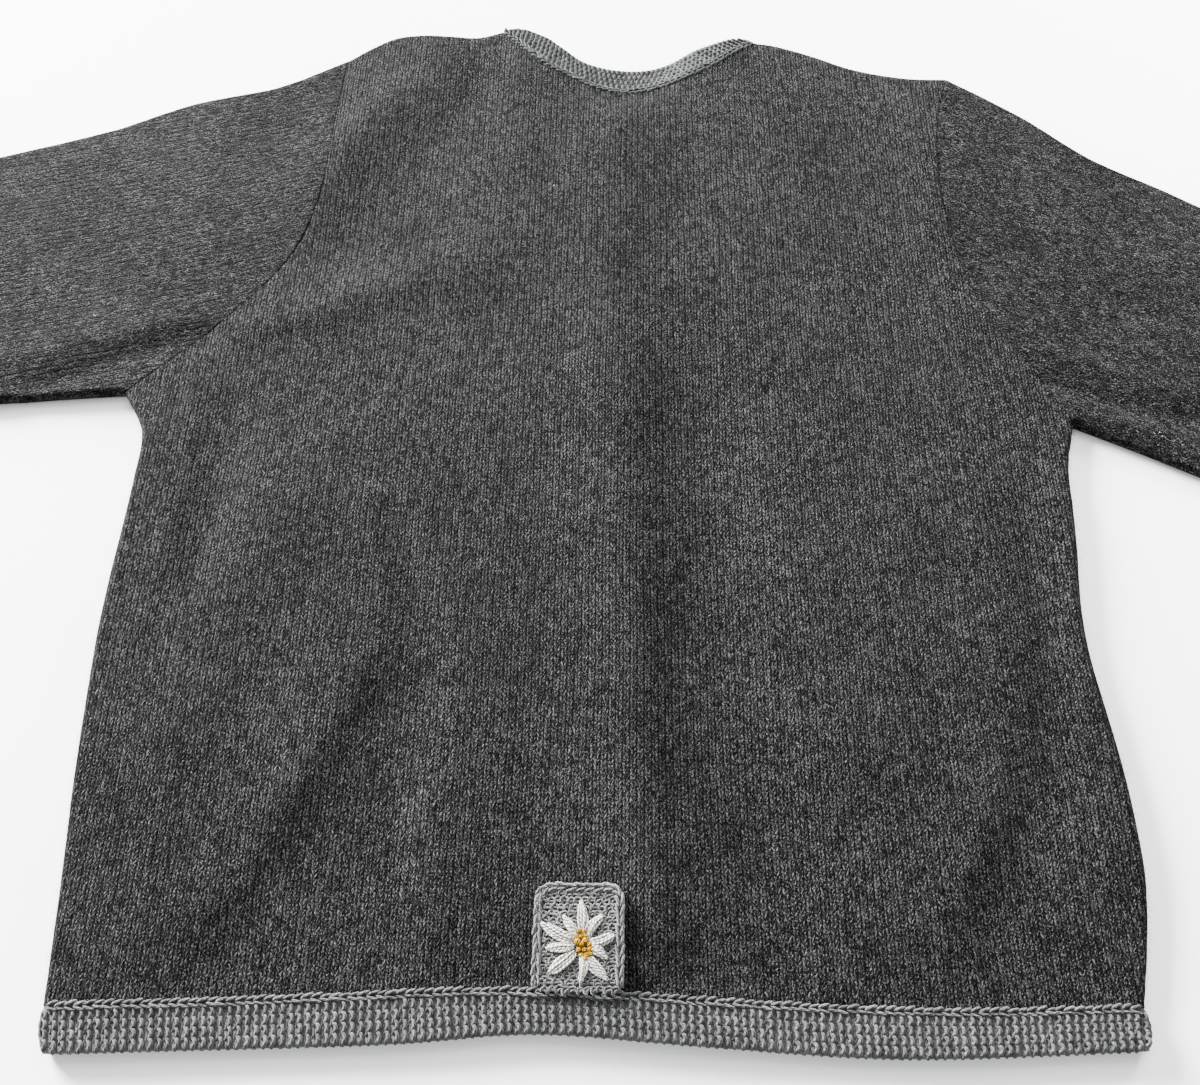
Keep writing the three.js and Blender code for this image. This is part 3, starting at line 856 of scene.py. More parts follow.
def ridges(yarn, seam, free, height, edge_drop, strong=True):
    """Ridges that cross a band from its seam to its free edge, each a column of C-shaped loops. They
    bend down round the free edge by edge_drop. Weak ones lie half a pitch from the strong ones."""
    fitting = int(round(path_length(seam) / RIDGE_PITCH))
    share = (np.arange(fitting) + 0.5 if strong else np.arange(1, fitting)) / fitting
    number = len(share)
    starts, heading = along_path(seam, share * path_length(seam))
    ends, _ = along_path(free, share * path_length(free))
    across = ends - starts
    width = np.hypot(*across.T)
    across /= width[:, None]
    loops = max(1, int(round((width.mean() - START_INSET) / RIDGE_LOOP)))
    phase = np.linspace(0, loops, loops * LOOP_STEPS + 1)
    bow = np.abs(np.sin(math.pi * (phase + (0 if strong else 0.5)))) ** 0.75
    from_end = np.minimum(share, 1 - share) * path_length(seam)
    cut = CORNER_CUT * np.clip(1 - from_end / CORNER_ROUND, 0, 1) ** 2
    reach = START_INSET + phase / loops * (width - START_INSET - END_INSET - cut)[:, None]
    jitter = rng.uniform(-0.25, 0.25, (number, 1)) * MM
    loop_jitter = rng.uniform(0.65, 1.3, (number, loops + 1))[:, np.minimum(phase.astype(int), loops - 1)]
    side_by = jitter - LOOP_BULGE * (bow - 0.4) * loop_jitter
    plan = starts[:, None] + across[:, None] * reach[:, :, None] + heading[:, None] * side_by[:, :, None]
    tops = height(plan.reshape(-1, 2)).reshape(number, -1)
    tops = tops + LOOP_RISE * bow * loop_jitter - RIDGE_SUNK - (0 if strong else WEAK_SUNK)
    body = np.dstack([plan, tops])
    bend = np.linspace(0, math.pi / 2, 5)[1:]
    out = body[:, -1, None, :2] + across[:, None] * (TAIL_REACH * np.sin(bend))[None, :, None]
    down = body[:, -1, None, 2] - (edge_drop * (1 - np.cos(bend)))[None, :]
    tail = np.dstack([out, down])
    yarn.lay(np.concatenate([body, tail], axis=1), RIDGE_RADIUS * (1 if strong else WEAK_RADIUS))


def band_height(points):
    return top(points) + TRIM_RISE - BASE_DROP


PATCH_WALL = 1.5 * MM
PATCH_LAP = 5 * MM  # along which a chain climbs onto the patch


def patch_height(points):
    """The top of the patch's backing."""
    return top(points) + SEAM_GAP + PATCH_WALL


def chain_height(points):
    """Where a band's chain lies: in the seam, and over the lower edge of the patch."""
    low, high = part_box("patch")
    aside = np.minimum(points[:, 0] - low.x, high.x - points[:, 0]) + PATCH_LAP / 2
    climb = np.clip(aside / PATCH_LAP, 0, 1) * (points[:, 1] < high.y)
    return band_height(points) + 0.6 * climb * (patch_height(points) - band_height(points)) - 0.3 * MM


SHORTEST_END = 8 * MM  # a fold shorter than this has no ridges along it
WRAP_BOW = 1.6 * MM  # how far a band's end stands out in its middle
WRAP_LOOPS = 4


def wrap(yarn, fold):
    """Ridges that lie along a folded end of a band, one above the other."""
    path = spaced(fold, count=24)
    if path_length(path) < SHORTEST_END:
        return
    path = path[2:-2]  # the ends are under the chain and the last ridge
    share = np.linspace(0, 1, len(path))
    ahead = np.gradient(path, axis=0)
    ahead /= np.hypot(*ahead.T)[:, None]
    outward = np.stack([ahead[:, 1], -ahead[:, 0]], axis=1)
    radius = top(path) / 2
    bow = np.abs(np.sin(math.pi * share * WRAP_LOOPS)) ** 0.75
    made = []
    for angle in (-0.75, 0.0, 0.75):
        out = WRAP_BOW * np.sin(math.pi * share) - radius * (1 - math.cos(angle)) + (0.5 * bow - 0.6) * MM
        made.append(np.column_stack([path + outward * out[:, None], radius * (1 + 0.85 * math.sin(angle))]))
    yarn.lay(np.array(made), 1.05 * MM)


BAND_LATTICE = 4 * MM
CHAIN_INSET = 0.9 * MM  # from a band's seam to the middle of its chain
CHAIN_ENDS = 3  # points at each end of a seam that its chain leaves free


def band(name, node, wool):
    """A crocheted band: a plain tube, with a chain of yarn along its seam and ridges across it."""
    above, below = Outline(node), Outline(node, facing=-1)
    weave = Weave(above.points[0], 0.0)
    wall = TRIM - BASE_DROP
    plain = {"gap": SEAM_GAP, "ribs": 0, "plain_step": BAND_LATTICE}
    halves = [Shell(above, wall, weave, rise=TRIM_RISE - BASE_DROP, **plain),
              Shell(below, wall, weave, above=False, **plain)]
    base = shell_object(name + "_crochet", halves, backing)
    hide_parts(node)
    yarn = Yarn()
    seam, free = above.long_sides()
    ridges(yarn, seam, free, band_height, 2.2 * MM)
    ridges(yarn, seam, free, band_height, 2.0 * MM, strong=False)
    for number, (_, _, folded) in enumerate(above.runs):
        if folded:
            wrap(yarn, above.run(number))
    path = spaced(seam)[CHAIN_ENDS:-CHAIN_ENDS]
    toward = free[[0, len(free) // 2, -1]].mean(0) - seam[[0, len(seam) // 2, -1]].mean(0)
    toward /= np.hypot(*toward)
    chain(yarn, path + CHAIN_INSET * toward, chain_height)
    stitches = yarn.object(name + "_stitches", "grey_crochet", wool)
    return base, stitches


# --- Materials ---

ROUGHNESS = 0.95


class Nodes:
    """Short ways to build a material's nodes."""

    def __init__(self, name):
        self.material = bpy.data.materials.new(name)
        self.material.use_nodes = True
        self.tree = self.material.node_tree
        self.shader = self.tree.nodes["Principled BSDF"]

    def add(self, kind, settings=(), **inputs):
        node = self.tree.nodes.new(kind)
        for key, value in dict(settings).items():
            setattr(node, key, value)
        for key, value in inputs.items():
            self.feed(node.inputs[key.replace("_", " ")], value)
        return node

    def feed(self, socket, value):
        if isinstance(value, bpy.types.NodeSocket):
            self.tree.links.new(value, socket)
        else:
            socket.default_value = value

    def calc(self, operation, *values):
        node = self.tree.nodes.new("ShaderNodeMath")
        node.operation = operation
        for socket, value in zip(node.inputs, values):
            self.feed(socket, value)
        return node.outputs[0]

    def plus(self, a, b):
        return self.calc("ADD", a, b)

    def minus(self, a, b):
        return self.calc("SUBTRACT", a, b)

    def times(self, a, b):
        return self.calc("MULTIPLY", a, b)

    def weigh(self, total, middle, parts):
        """Adds each part's share of its distance from a middle value to the total."""
        for part, share in parts:
            total = self.plus(total, self.times(self.minus(part, middle), share))
        return total

    def noise(self, vector, scale, detail=2.0, roughness=0.5):
        return self.add("ShaderNodeTexNoise", Vector=vector, Scale=scale, Detail=detail,
                        Roughness=roughness).outputs["Fac"]

    def vector(self, x, y, z=0.0):
        return self.add("ShaderNodeCombineXYZ", X=x, Y=y, Z=z).outputs[0]

    def split(self, vector):
        return self.add("ShaderNodeSeparateXYZ", Vector=vector).outputs

    def span(self, value, low, high, to_low=0.0, to_high=1.0):
        node = self.tree.nodes.new("ShaderNodeMapRange")
        for key, item in (("Value", value), ("From Min", low), ("From Max", high),
                          ("To Min", to_low), ("To Max", to_high)):
            self.feed(node.inputs[key], item)
        return node.outputs[0]

    def mix(self, share, a, b):
        node = self.tree.nodes.new("ShaderNodeMix")
        node.data_type = "RGBA"
        self.feed(node.inputs[0], share)
        self.feed(node.inputs[6], a)
        self.feed(node.inputs[7], b)
        return node.outputs[2]

    def thread(self):
        return self.add("ShaderNodeAttribute", {"attribute_name": "thread"}).outputs["Vector"]

    def position(self):
        return self.add("ShaderNodeTexCoord").outputs["Object"]

    def finish(self, colour, height, distance, sheen=0.1, specular=0.06):
        """The finished material: rough wool or cotton with the height as bump."""
        self.feed(self.shader.inputs["Base Color"], colour)
        self.shader.inputs["Roughness"].default_value = ROUGHNESS
        self.shader.inputs["Specular IOR Level"].default_value = specular
        self.shader.inputs["Sheen Weight"].default_value = sheen
        self.shader.inputs["Sheen Roughness"].default_value = 0.5
        bump = self.add("ShaderNodeBump", Height=height, Distance=distance, Strength=1.0)
        self.feed(self.shader.inputs["Normal"], bump.outputs[0])
        return self.material


def knit_material(name, felting_and_painted_light=0.0):
    """Charcoal melange wool in plain knitting. The thread attribute counts wales and courses.

    Felting is from 0, where each stitch is clear, to 1, where short fibres hide them. It also makes
    the greys lighter, as painted light for how light falls on the felted sleeves.
    """
    n = Nodes(name)
    clear = 1 - felting_and_painted_light
    where = n.position()
    wale, course, _ = n.split(n.thread())
    wander = n.minus(n.noise(where, 420, 1), 0.5)
    stray = n.minus(n.noise(where, 330, 1), 0.5)
    wale = n.plus(wale, n.times(wander, 0.3 + 0.8 * felting_and_painted_light))
    course = n.plus(course, n.times(stray, 0.7))
    # Each wale is a column of Vs: two slanting legs, mirrored about its middle.
    aside = n.calc("ABSOLUTE", n.minus(n.calc("FRACT", wale), 0.5))
    step = n.minus(course, n.times(aside, 2.3))
    along_leg = n.calc("FRACT", step)
    across_leg = n.calc("ABSOLUTE", n.minus(along_leg, 0.5))
    round_leg = n.minus(1.0, n.times(n.times(across_leg, across_leg), 4.0))
    off_middle = n.times(n.minus(aside, 0.22), 3.7)
    round_wale = n.minus(1.0, n.times(off_middle, off_middle))
    stitch = n.times(n.calc("MAXIMUM", round_leg, 0.0), n.calc("MAXIMUM", round_wale, 0.0))
    # Wool of light and dark fibres: streaks along the legs, one shade for each leg, and fine hairs.
    half = n.calc("FLOOR", n.times(wale, 2.0))
    leg = n.add("ShaderNodeTexWhiteNoise", {"noise_dimensions": "2D"},
                Vector=n.vector(half, n.calc("FLOOR", step))).outputs["Value"]
    streak = n.noise(n.vector(n.times(aside, 2.4), n.times(step, 2.2), half), 1.9, 2, 0.7)
    hairs = n.noise(n.vector(n.times(aside, 3.0), n.times(step, 9.0), half), 1.7, 2, 0.6)
    fuzz = n.noise(where, 1150, 3, 0.8)
    yarn = n.noise(n.vector(n.times(wale, 0.3), n.calc("FLOOR", course), 0.0), 1.0, 2, 0.6)
    blotch = n.noise(where, 120, 3, 0.65)
    cloud = n.noise(where, 16, 2)
    shade = n.times(n.minus(leg, 0.5), 0.2)
    shade = n.weigh(shade, 0.5, ((streak, 0.7 + 0.6 * clear), (fuzz, 2.6), (yarn, 0.2), (blotch, 0.3),
                                 (cloud, 0.15), (hairs, 0.6 + 0.5 * clear)))
    # Painted shade: each wale and each leg is lighter along its round middle and darker towards its sides,
    # as shade falls between the stitches.
    shade = n.weigh(shade, 0.6, ((round_wale, 0.3 * clear), (round_leg, 0.1)))
    ramp = n.tree.nodes.new("ShaderNodeValToRGB")
    ramp.color_ramp.interpolation = "B_SPLINE"
    stops = [(0.0, 0.0001), (0.30, 0.0003), (0.50, 0.0014), (0.70, 0.0085), (1.0, 0.080)]
    while len(ramp.color_ramp.elements) < len(stops):
        ramp.color_ramp.elements.new(0.5)
    for element, (at, grey) in zip(ramp.color_ramp.elements, stops):
        element.position = at
        # Painted light: the felted copy's greys are lighter, for how light falls on the sleeves' knit.
        grey *= 0.95 + 0.2 * felting_and_painted_light
        element.color = (grey, grey * 0.99, grey * 0.985, 1)
    n.feed(ramp.inputs["Fac"], n.span(shade, -0.62, 0.62))
    # Stray light fibres curl over the surface.
    colour = ramp.outputs["Color"]
    for scale, share in ((230, 0.05), (410, 0.04)):
        curl = n.calc("ABSOLUTE", n.minus(n.noise(where, scale, 1), 0.5))
        patchy = n.span(n.noise(where, scale * 0.7, 1), 0.45, 0.6)
        colour = n.mix(n.times(n.span(curl, 0.012, 0.0), n.times(patchy, share * 10)), colour,
                       (0.042, 0.042, 0.042, 1))
    # Painted shade: the grooves between the wales are mixed towards black.
    painted_valley_shade = n.span(round_wale, 0.0, 0.45, 1 - 0.65 * clear, 1.0)
    colour = n.mix(painted_valley_shade, (0.0006, 0.0006, 0.0006, 1), colour)
    height = n.plus(stitch, n.times(streak, 0.5))
    height = n.plus(height, n.times(fuzz, 0.5))
    return n.finish(colour, height, (0.35 + 0.2 * clear) * MM, sheen=0.0, specular=0.02)


def yarn_material(name, dark, light, pale, twist=1.0, plies=2.0, sheen=0.25, distance=0.22 * MM):
    """Plied yarn. The thread attribute holds millimetres along it, turns round it and a random number."""
    n = Nodes(name)
    where = n.position()
    along, turn, chance = n.split(n.thread())
    spiral = n.plus(n.times(along, 0.42 * twist), n.times(turn, plies))
    strand = n.calc("ABSOLUTE", n.minus(n.calc("FRACT", spiral), 0.5))
    ply = n.minus(1.0, n.times(n.times(strand, strand), 4.0))
    fibre_space = n.vector(n.times(along, 0.8), n.times(spiral, 5.0), n.times(chance, 37.0))
    fibre = n.noise(fibre_space, 1.6, 3, 0.65)
    fuzz = n.noise(where, 1300, 2, 0.7)
    shade = n.plus(n.times(fibre, 1.3), n.times(fuzz, 0.8))
    shade = n.plus(shade, n.times(n.noise(where, 160, 2), 0.5))
    # Painted shade: each ply is lighter along its crest and darker in the grooves between plies.
    shade = n.plus(shade, n.times(ply, 0.16))
    colour = n.mix(n.span(shade, 1.12, 1.66), dark, light)
    colour = n.mix(n.span(shade, 1.38, 1.85), colour, pale)
    height = n.plus(ply, n.times(fibre, 0.5))
    return n.finish(colour, height, distance, sheen=sheen)


def floor_material():
    """Plain white cotton cloth."""
    n = Nodes("pale_floor")
    weave = n.noise(n.position(), 900, 2)
    colour = n.mix(weave, (0.89, 0.89, 0.89, 1), (0.93, 0.93, 0.93, 1))
    return n.finish(colour, weave, 0.02 * MM, sheen=0.0)


knit = knit_material("charcoal_wool_knit")
# The sleeves' copy: felted, with its greys painted lighter.
felted_knit_painted_lighter = knit_material("charcoal_wool_felted_painted_lighter", 0.75)
trim = yarn_material("grey_wool_yarn", (0.0127, 0.0131, 0.0128, 1), (0.049, 0.0508, 0.0494, 1),
                     (0.130, 0.1335, 0.128, 1), sheen=0.1)
neck_trim = yarn_material("grey_green_wool_yarn", (0.0080, 0.0089, 0.0088, 1), (0.0313, 0.0342, 0.0338, 1),
                          (0.089, 0.094, 0.0933, 1), sheen=0.06)
patch_yarn = yarn_material("pale_grey_wool_yarn", (0.0144, 0.0149, 0.0146, 1), (0.056, 0.058, 0.0564, 1),
                           (0.149, 0.1525, 0.146, 1))
petal_yarn = yarn_material("white_wool_yarn", (0.12, 0.115, 0.098, 1), (0.56, 0.54, 0.48, 1),
                           (0.84, 0.82, 0.755, 1), twist=1.2, plies=1.1, sheen=0.05, distance=0.8 * MM)
gold_yarn = yarn_material("gold_wool_yarn", (0.05, 0.024, 0.001, 1), (0.36, 0.17, 0.003, 1),
                          (0.66, 0.36, 0.012, 1), sheen=0.0, distance=0.4 * MM)
seam_yarn = yarn_material("charcoal_wool_yarn", (0.0005, 0.0005, 0.0005, 1), (0.007, 0.007, 0.007, 1),
                          (0.042, 0.042, 0.042, 1), sheen=0.0)
hair_yarn = yarn_material("loose_wool_fibre", (0.027, 0.027, 0.027, 1), (0.08, 0.08, 0.08, 1),
                          (0.18, 0.18, 0.18, 1), sheen=0.0)
# The backing is the same grey wool as the yarn laid on it, a little darker as painted shade for the gaps
# between the ridges and stitches above it.
backing = yarn_material("grey_wool_backing", (0.0108, 0.0112, 0.0112, 1), (0.045, 0.0464, 0.046, 1),
                        (0.108, 0.109, 0.106, 1))

# --- Knitted pieces ---

BODY_WEAVE = Weave(place(0, 0), math.radians(90))
LEFT_WEAVE = Weave(place(-708, 384), math.radians(15.5))
RIGHT_WEAVE = Weave(place(654, 229), math.radians(180 - 32.5))


def sleeve(name, weave):
    """A sleeve is a flat tube: an upper and a lower wall welded along their folds."""
    outline = Outline(name)
    walls = [Shell(outline, CLOTH, weave, ribs=SLEEVE_RIBS),
             Shell(outline, CLOTH, weave, above=False, ribs=0)]
    made = shell_object(name + "_knit", walls, felted_knit_painted_lighter, weld=True)
    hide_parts(name)
    return made


back_wall = Shell(Outline("back_panel"), CLOTH, BODY_WEAVE, gap=SEAM_GAP)
back = shell_object("back_knit", [back_wall], knit)
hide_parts("back_panel")
front_wall = Shell(Outline("front_panel", facing=-1), CLOTH, BODY_WEAVE, above=False, gap=SEAM_GAP, ribs=0)
front = shell_object("front_knit", [front_wall], knit)
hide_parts("front_panel")
sleeve_left = sleeve("sleeve_left", LEFT_WEAVE)
sleeve_right = sleeve("sleeve_right", RIGHT_WEAVE)


ARMHOLE_REACH = 200 * MM  # armholes are further than this from the middle of the back
SHORTEST_ARMHOLE = 60 * MM
SUNK_LEFT, SUNK_RIGHT = 0.3 * MM, 0.8 * MM  # how far the wool lies below the cloth at each armhole
SEAM_WOOL_RADIUS = 0.55 * MM
SEAM_TWIST = 0.12 * MM  # how far it snakes up and down
SEAM_TWIST_LENGTH = 0.9 * MM


def armhole_seams():
    """A line of wool in the seam between the back and each sleeve."""
    outline = Outline("back_panel")
    yarn = Yarn()
    for number, (first, last, folded) in enumerate(outline.runs):
        path = outline.run(number)
        reach = np.abs(path[[0, -1], 0] - BODY_MIDDLE[0]).min()
        if folded or reach < ARMHOLE_REACH or path_length(path) < SHORTEST_ARMHOLE:
            continue
        distance, nearest = outline.fold_gap(path)
        radius = top(outline.points[nearest]) / 2
        drop = radius - np.sqrt(np.maximum(radius**2 - np.maximum(radius - distance, 0) ** 2, 0))
        inward = outline.inward[np.arange(first, last + 1) % len(outline.points)]
        plan = path - inward * SEAM_GAP / 2
        sunk = SUNK_LEFT if path[:, 0].mean() < BODY_MIDDLE[0] else SUNK_RIGHT
        twist = SEAM_TWIST * np.sin(np.arange(len(path)) * EDGE_STEP / SEAM_TWIST_LENGTH)
        yarn.lay([np.column_stack([plan, top(path) - drop - sunk + twist])], SEAM_WOOL_RADIUS)
    return yarn.object("armhole_seams", "charcoal_knit", seam_yarn)


seams = armhole_seams()

# --- Bands ---

bands = {node: band(node.replace("_band", ""), node, neck_trim if node == "neck_band" else trim)
         for node in BAND_NODES}

# --- Patch and flower ---

PATCH_RIM = 2.1 * MM  # from the patch's edge to the middle of its chain
CROCHET_PITCH, CROCHET_ROW = 3.3 * MM, 3.1 * MM
CROCHET_START = -1.2 * MM  # of the first row, from the patch's lower edge
RIM_CLEAR = 3.6 * MM  # kept free of stitches at the chain
# The three legs of a crooked stitch.
CROCHET_LEGS = np.array([
    [(-1.5, -1.5), (-1.6, -0.3), (-1.2, 0.8), (-0.4, 1.5), (0.5, 1.5)],
    [(1.5, -1.4), (1.7, -0.2), (1.2, 0.9), (0.3, 1.3), (-0.6, 0.9)],
    [(-1.7, -0.9), (-0.8, -0.3), (0.2, -0.2), (1.1, -0.5), (1.9, -1.2)],
]) * MM

FLOWER = (-7.4, 42.6)  # the middle of the flower, in mm on the sweater
# Tips of the petals from the flower's middle, and half their widths, in mm.
PETALS = [
    ((-1, 21), 2.2), ((-9.6, 14), 1.8), ((-20.5, 10.4), 2.5), ((-18.2, -1.8), 2.0), ((-16.4, -13.4), 2.6),
    ((-0.6, -17.4), 1.7), ((13, -16), 2.3), ((12.4, -6.2), 1.9), ((16, 5), 2.2), ((9.8, 14), 2.0),
]
PETAL_START = 0.2  # share of the way to its tip at which a petal starts
PETAL_STRANDS = 4
PETAL_FULLNESS = 0.88  # share of its half width that a petal's strands spread over
STRAND_RADIUS = 0.68 * MM
KNOT_TURNS = 2.6
# Gold knots from the flower's middle, in mm.
KNOTS = [
    (-1.6, 6.4), (0.9, 6.6), (-3.2, 4.3), (-0.6, 4.2), (1.7, 4.4), (-2.4, 1.6), (-0.3, 0.4), (1.4, 2.2),
    (3.4, 0.4), (-1.6, -2.0), (1.2, -2.0), (3.9, -1.7), (-0.2, -4.4), (2.4, -4.2), (4.4, -3.8), (1.8, -6.2),
]


def turned(points, angle):
    """Plan points turned about the origin."""
    cos, sin = math.cos(angle), math.sin(angle)
    return points @ np.array([[cos, sin], [-sin, cos]])


def crochet(yarn, outline):
    """Rows of small crooked stitches that fill the patch."""
    rim = plan_tree(outline.points)
    low, high = outline.points.min(0), outline.points.max(0)
    made = []
    for row, y in enumerate(np.arange(low[1] + CROCHET_START, high[1], CROCHET_ROW)):
        for x in np.arange(low[0] + (row % 2) * CROCHET_PITCH / 2, high[0], CROCHET_PITCH):
            near_rim = rim.find((x, y, 0))[2] < RIM_CLEAR and y > low[1] + RIM_CLEAR
            if near_rim or not low[0] + RIM_CLEAR < x < high[0] - RIM_CLEAR:
                continue
            turn = rng.normal(0, 0.45)
            size = rng.uniform(0.85, 1.2)
            middle = np.array([x, y]) + rng.normal(0, 0.25, 2) * MM
            for leg in CROCHET_LEGS:
                made.append(curved(middle + size * turned(leg, turn), samples=3))
    made = np.array(made)
    share = np.linspace(0, 1, made.shape[1])
    lift = (0.1 + 0.75 * np.sin(math.pi * share)) * MM + rng.uniform(-0.2, 0.3, (len(made), 1)) * MM
    tops = patch_height(made.reshape(-1, 2)).reshape(made.shape[:2]) + lift
    yarn.lay(np.dstack([made, tops]), 0.58 * MM)


def patch():
    """The backing, the crochet that fills it and the chain round its rim."""
    outline = Outline("patch", sharpest_curve=math.radians(70))
    backing_shell = Shell(outline, PATCH_WALL, Weave(place(0, 0), 0.0), ribs=0, plain_step=3 * MM,
                          rise=SEAM_GAP + PATCH_WALL, roll=0.6 * MM)
    base = shell_object("patch_backing", [backing_shell], backing)
    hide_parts("patch")
    yarn = Yarn()
    crochet(yarn, outline)
    first, last, _ = max(outline.runs, key=lambda run: run[1] - run[0])
    rim = np.arange(first, last + 1) % len(outline.points)
    path = spaced((outline.points + PATCH_RIM * outline.inward)[rim][::-1])
    chain(yarn, path, lambda p: patch_height(p) + 0.25 * MM, radius=0.74 * MM, half_width=1.6 * MM)
    stitches = yarn.object("patch_stitches", "grey_crochet", patch_yarn)
    return base, stitches


def petals(yarn):
    """Each petal is a few thick strands side by side, laid from its base to a round tip."""
    share = np.linspace(0, 1, 16)
    made, widths = [], []
    for tip, half_width in PETALS:
        tip = np.array(tip) * MM
        base = place(*FLOWER) + PETAL_START * tip
        reach = (1 - PETAL_START) * tip
        length = np.hypot(*reach)
        ahead = reach / length
        across = np.array([-ahead[1], ahead[0]])
        bend = rng.uniform(-1.5, 1.5) * MM
        for strand, offset in enumerate(np.linspace(-1, 1, PETAL_STRANDS)):
            ends = 1 - 0.12 * offset**2 - rng.uniform(0, 0.08)
            leaf = 0.34 + 0.66 * np.sin(math.pi * np.clip(share * 0.92 + 0.02, 0, 1)) ** 0.7
            sway = 0.16 * np.sin(2 * math.pi * (share * 1.3 + rng.uniform()))
            side = (offset * PETAL_FULLNESS * half_width + sway) * leaf * MM
            side = side + bend * np.sin(math.pi * share)
            plan = base + np.outer(share * ends * length, ahead) + np.outer(side, across)
            crown = 0.75 + 1.15 * np.sin(math.pi * np.clip(share, 0, 0.9)) ** 0.7 + 0.35 * (1 - abs(offset))
            crown = crown + 0.3 * (strand % 2)
            made.append(np.column_stack([plan, patch_height(plan) + crown * MM]))
            widths.append(STRAND_RADIUS * (0.72 + 0.28 * np.sin(math.pi * np.clip(share, 0, 0.8))))
    yarn.lay(np.array(made), np.array(widths), sides=8, tip=0.75)


def knots(yarn):
    """French knots: yarn wound into small domes."""
    share = np.linspace(0, 1, 30)
    made = []
    for x, y in KNOTS:
        middle = place(FLOWER[0] + x, FLOWER[1] + y)
        size = rng.uniform(0.8, 1.3) * MM
        tilt = math.radians(105) * (1 - share) + math.radians(4)
        spin = 2 * math.pi * KNOT_TURNS * share + rng.uniform(0, 2 * math.pi)
        base = patch_height(np.array([middle]))[0] + rng.uniform(1.1, 1.7) * MM
        made.append(np.column_stack([
            middle[0] + size * np.sin(tilt) * np.cos(spin),
            middle[1] + size * np.sin(tilt) * np.sin(spin),
            base + 1.05 * size * np.cos(tilt),
        ]))
    yarn.lay(np.array(made), 0.5 * MM, sides=7)


def flower():
    """The petals and the knots, each in its own wool."""
    white, gold = Yarn(), Yarn()
    petals(white)
    knots(gold)
    return (white.object("flower_petals", "grey_crochet", petal_yarn),
            gold.object("flower_knots", "grey_crochet", gold_yarn))


patch_base, patch_stitches = patch()
flower_petals, flower_knots = flower()


# Threads of white lint: where each starts, and how long it is, in mm.
LINT = [(325, 331, 4.5), (323, 333, 3.0), (-150, 262, 1.6), (96, 214, 1.4), (-36, 520, 1.5)]
LINT_STEPS = 8
SURFACE_HAIRS = 7360  # tries for each 4000 points of an outline, in the box round it
EDGE_HAIRS = 2200  # for each 4000 points of an outline
HAIR_POINTS = 4
FOLD_CLEAR = 7 * MM  # hairs on the surface keep this far from a fold


def lint():
    """A few threads of white lint on the right sleeve and the back."""
    yarn = Yarn()
    made = []
    share = np.linspace(0, 1, LINT_STEPS + 1)
    for x, y, length in LINT:
        heading = rng.uniform(0, 2 * math.pi)
        curl = heading + 1.6 * np.sin(3 * share + rng.uniform(0, 6))
        steps = np.column_stack([np.cos(curl), np.sin(curl)]) * length * MM / LINT_STEPS
        plan = place(x, y) + np.cumsum(steps, axis=0)
        made.append(np.column_stack([plan, top(plan) + 0.35 * MM + 0.3 * MM * np.sin(5 * share)]))
    yarn.lay(np.array(made), 0.13 * MM)
    return yarn.object("lint", "charcoal_knit", petal_yarn)


def is_inside(points, outline):
    """Whether each plan point is inside an outline."""
    inside = np.zeros(len(points), bool)
    ring = outline.points[::4]
    for a, b in zip(ring, np.roll(ring, -1, axis=0)):
        spans = (a[1] > points[:, 1]) != (b[1] > points[:, 1])
        if spans.any():
            cross = a[0] + (points[:, 1] - a[1]) / (b[1] - a[1]) * (b[0] - a[0])
            inside ^= spans & (points[:, 0] < cross)
    return inside


def surface_hairs(outline, share):
    """Where hairs on the upper surface start, their headings, lengths and heights."""
    tries = rng.uniform(outline.points.min(0), outline.points.max(0), (int(SURFACE_HAIRS * share), 2))
    found = tries[is_inside(tries, outline)]
    distance, _ = outline.fold_gap(found)
    found = found[distance > FOLD_CLEAR]
    headings = rng.uniform(0, 2 * math.pi, len(found))
    return found, headings, rng.uniform(1.2, 4.5, len(found)) * MM, top(found) + 0.15 * MM


def edge_hairs(outline, share):
    """The same for hairs that stand out of the folds."""
    chosen = rng.choice(np.nonzero(outline.on_fold)[0], int(EDGE_HAIRS * share))
    points, inward = outline.points[chosen], outline.inward[chosen]
    outward = np.arctan2(-inward[:, 1], -inward[:, 0])
    headings = outward + rng.normal(0, 0.8, len(chosen))
    lengths = rng.uniform(0.8, 2.6, len(chosen)) * MM
    level = top(points + inward * FLAT_FROM)
    return points + inward * 0.3 * MM, headings, lengths, level * rng.uniform(0.35, 0.75, len(chosen))


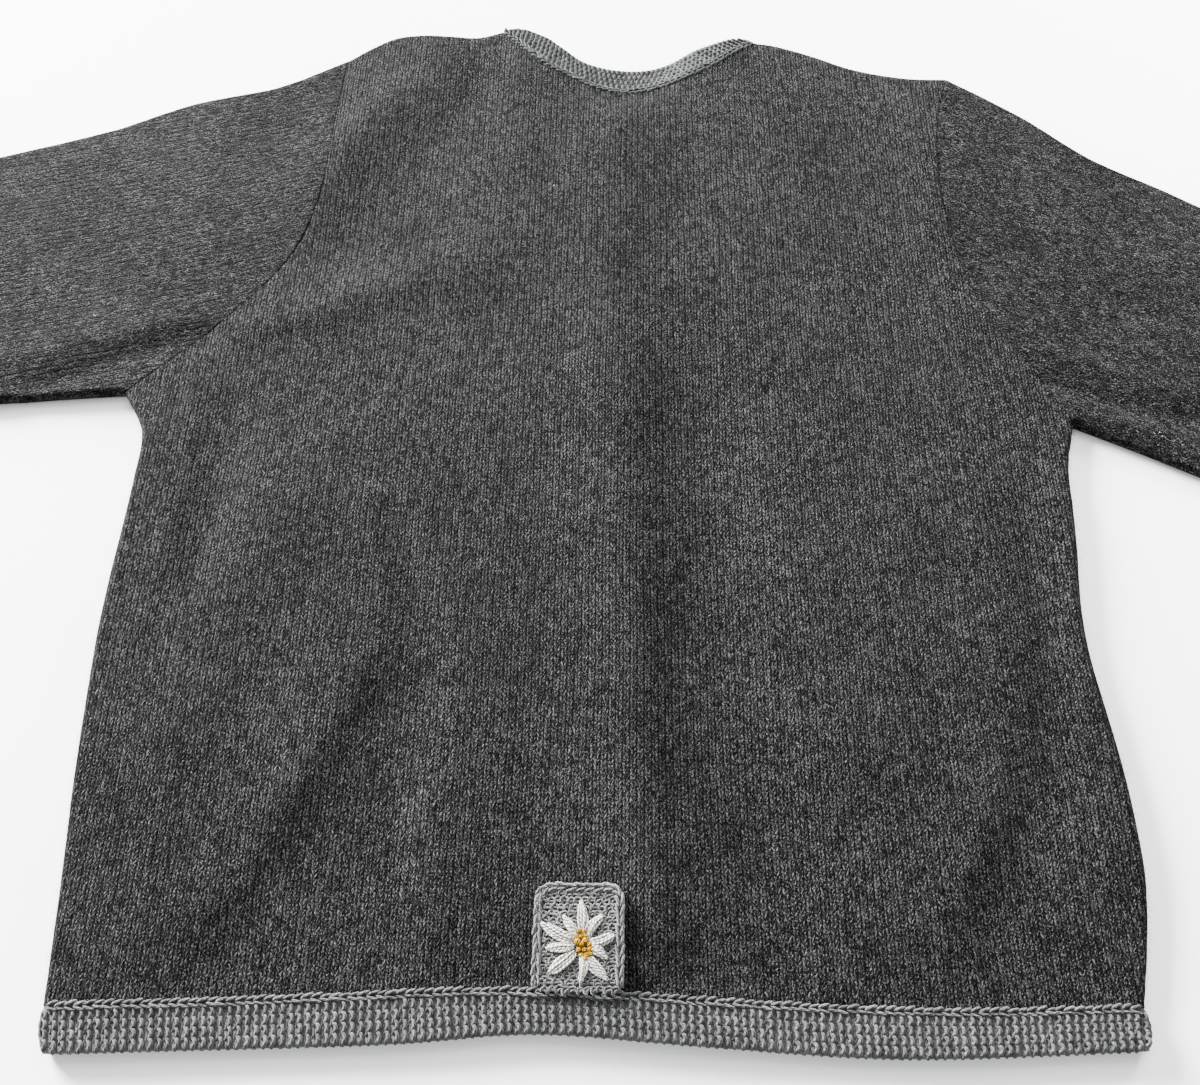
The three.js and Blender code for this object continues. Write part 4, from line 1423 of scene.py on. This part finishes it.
def hairs():
    """Loose wool fibres that stand out of the surface and curl past the folded edges."""
    yarn = Yarn()
    groups = []
    for node in ("back_panel", "sleeve_left", "sleeve_right"):
        outline = Outline(node)
        share = len(outline.points) / 4000
        groups += [surface_hairs(outline, share), edge_hairs(outline, share)]
    spots, headings, lengths, rises = (np.concatenate(part) for part in zip(*groups))
    share = np.linspace(0, 1, HAIR_POINTS)
    bend = headings[:, None] + rng.normal(0, 1.3, (len(spots), 1)) * share
    pace = lengths[:, None] / (HAIR_POINTS - 1)
    x = spots[:, :1] + np.cumsum(np.cos(bend) * pace, axis=1)
    y = spots[:, 1:] + np.cumsum(np.sin(bend) * pace, axis=1)
    lift = rng.uniform(0.1, 0.7, (len(spots), 1)) * np.sin(math.pi * share) * MM
    yarn.lay(np.dstack([x, y, rises[:, None] + lift]), 0.045 * MM, sides=3)
    return yarn.object("wool_hairs", "charcoal_knit", hair_yarn)


loose = [seams, lint(), hairs()]

# --- Stage ---

# Area lights: name, place and size in metres, and power in watts.
LIGHTS = [
    ("window", (-2.3, 1.95, 0.8), 1.3, 2300),
    ("fill", (0.5, 1.6, 1.9), 1.8, 90),
    ("corner", (0.95, 0.65, 0.3), 0.35, 45),
]
LIGHT_TARGET = Vector((0, 0.05, 0))


def stage():
    """A plain pale floor, soft light all round and the lights above."""
    bpy.ops.mesh.primitive_plane_add(size=8)
    floor = bpy.context.object
    floor.name = "floor"
    floor.data.materials.append(floor_material())
    world = bpy.data.worlds.new("studio")
    bpy.context.scene.world = world
    world.use_nodes = True
    sky = world.node_tree.nodes["Background"].inputs
    sky["Color"].default_value = (0.97, 0.985, 1.0, 1)
    sky["Strength"].default_value = 1.3
    for name, at, size, energy in LIGHTS:
        data = bpy.data.lights.new(name, "AREA")
        data.energy = energy
        data.size = size
        made = bpy.data.objects.new(name, data)
        made.location = at
        made.rotation_euler = (LIGHT_TARGET - made.location).to_track_quat("-Z", "Y").to_euler()
        bpy.context.scene.collection.objects.link(made)


stage()
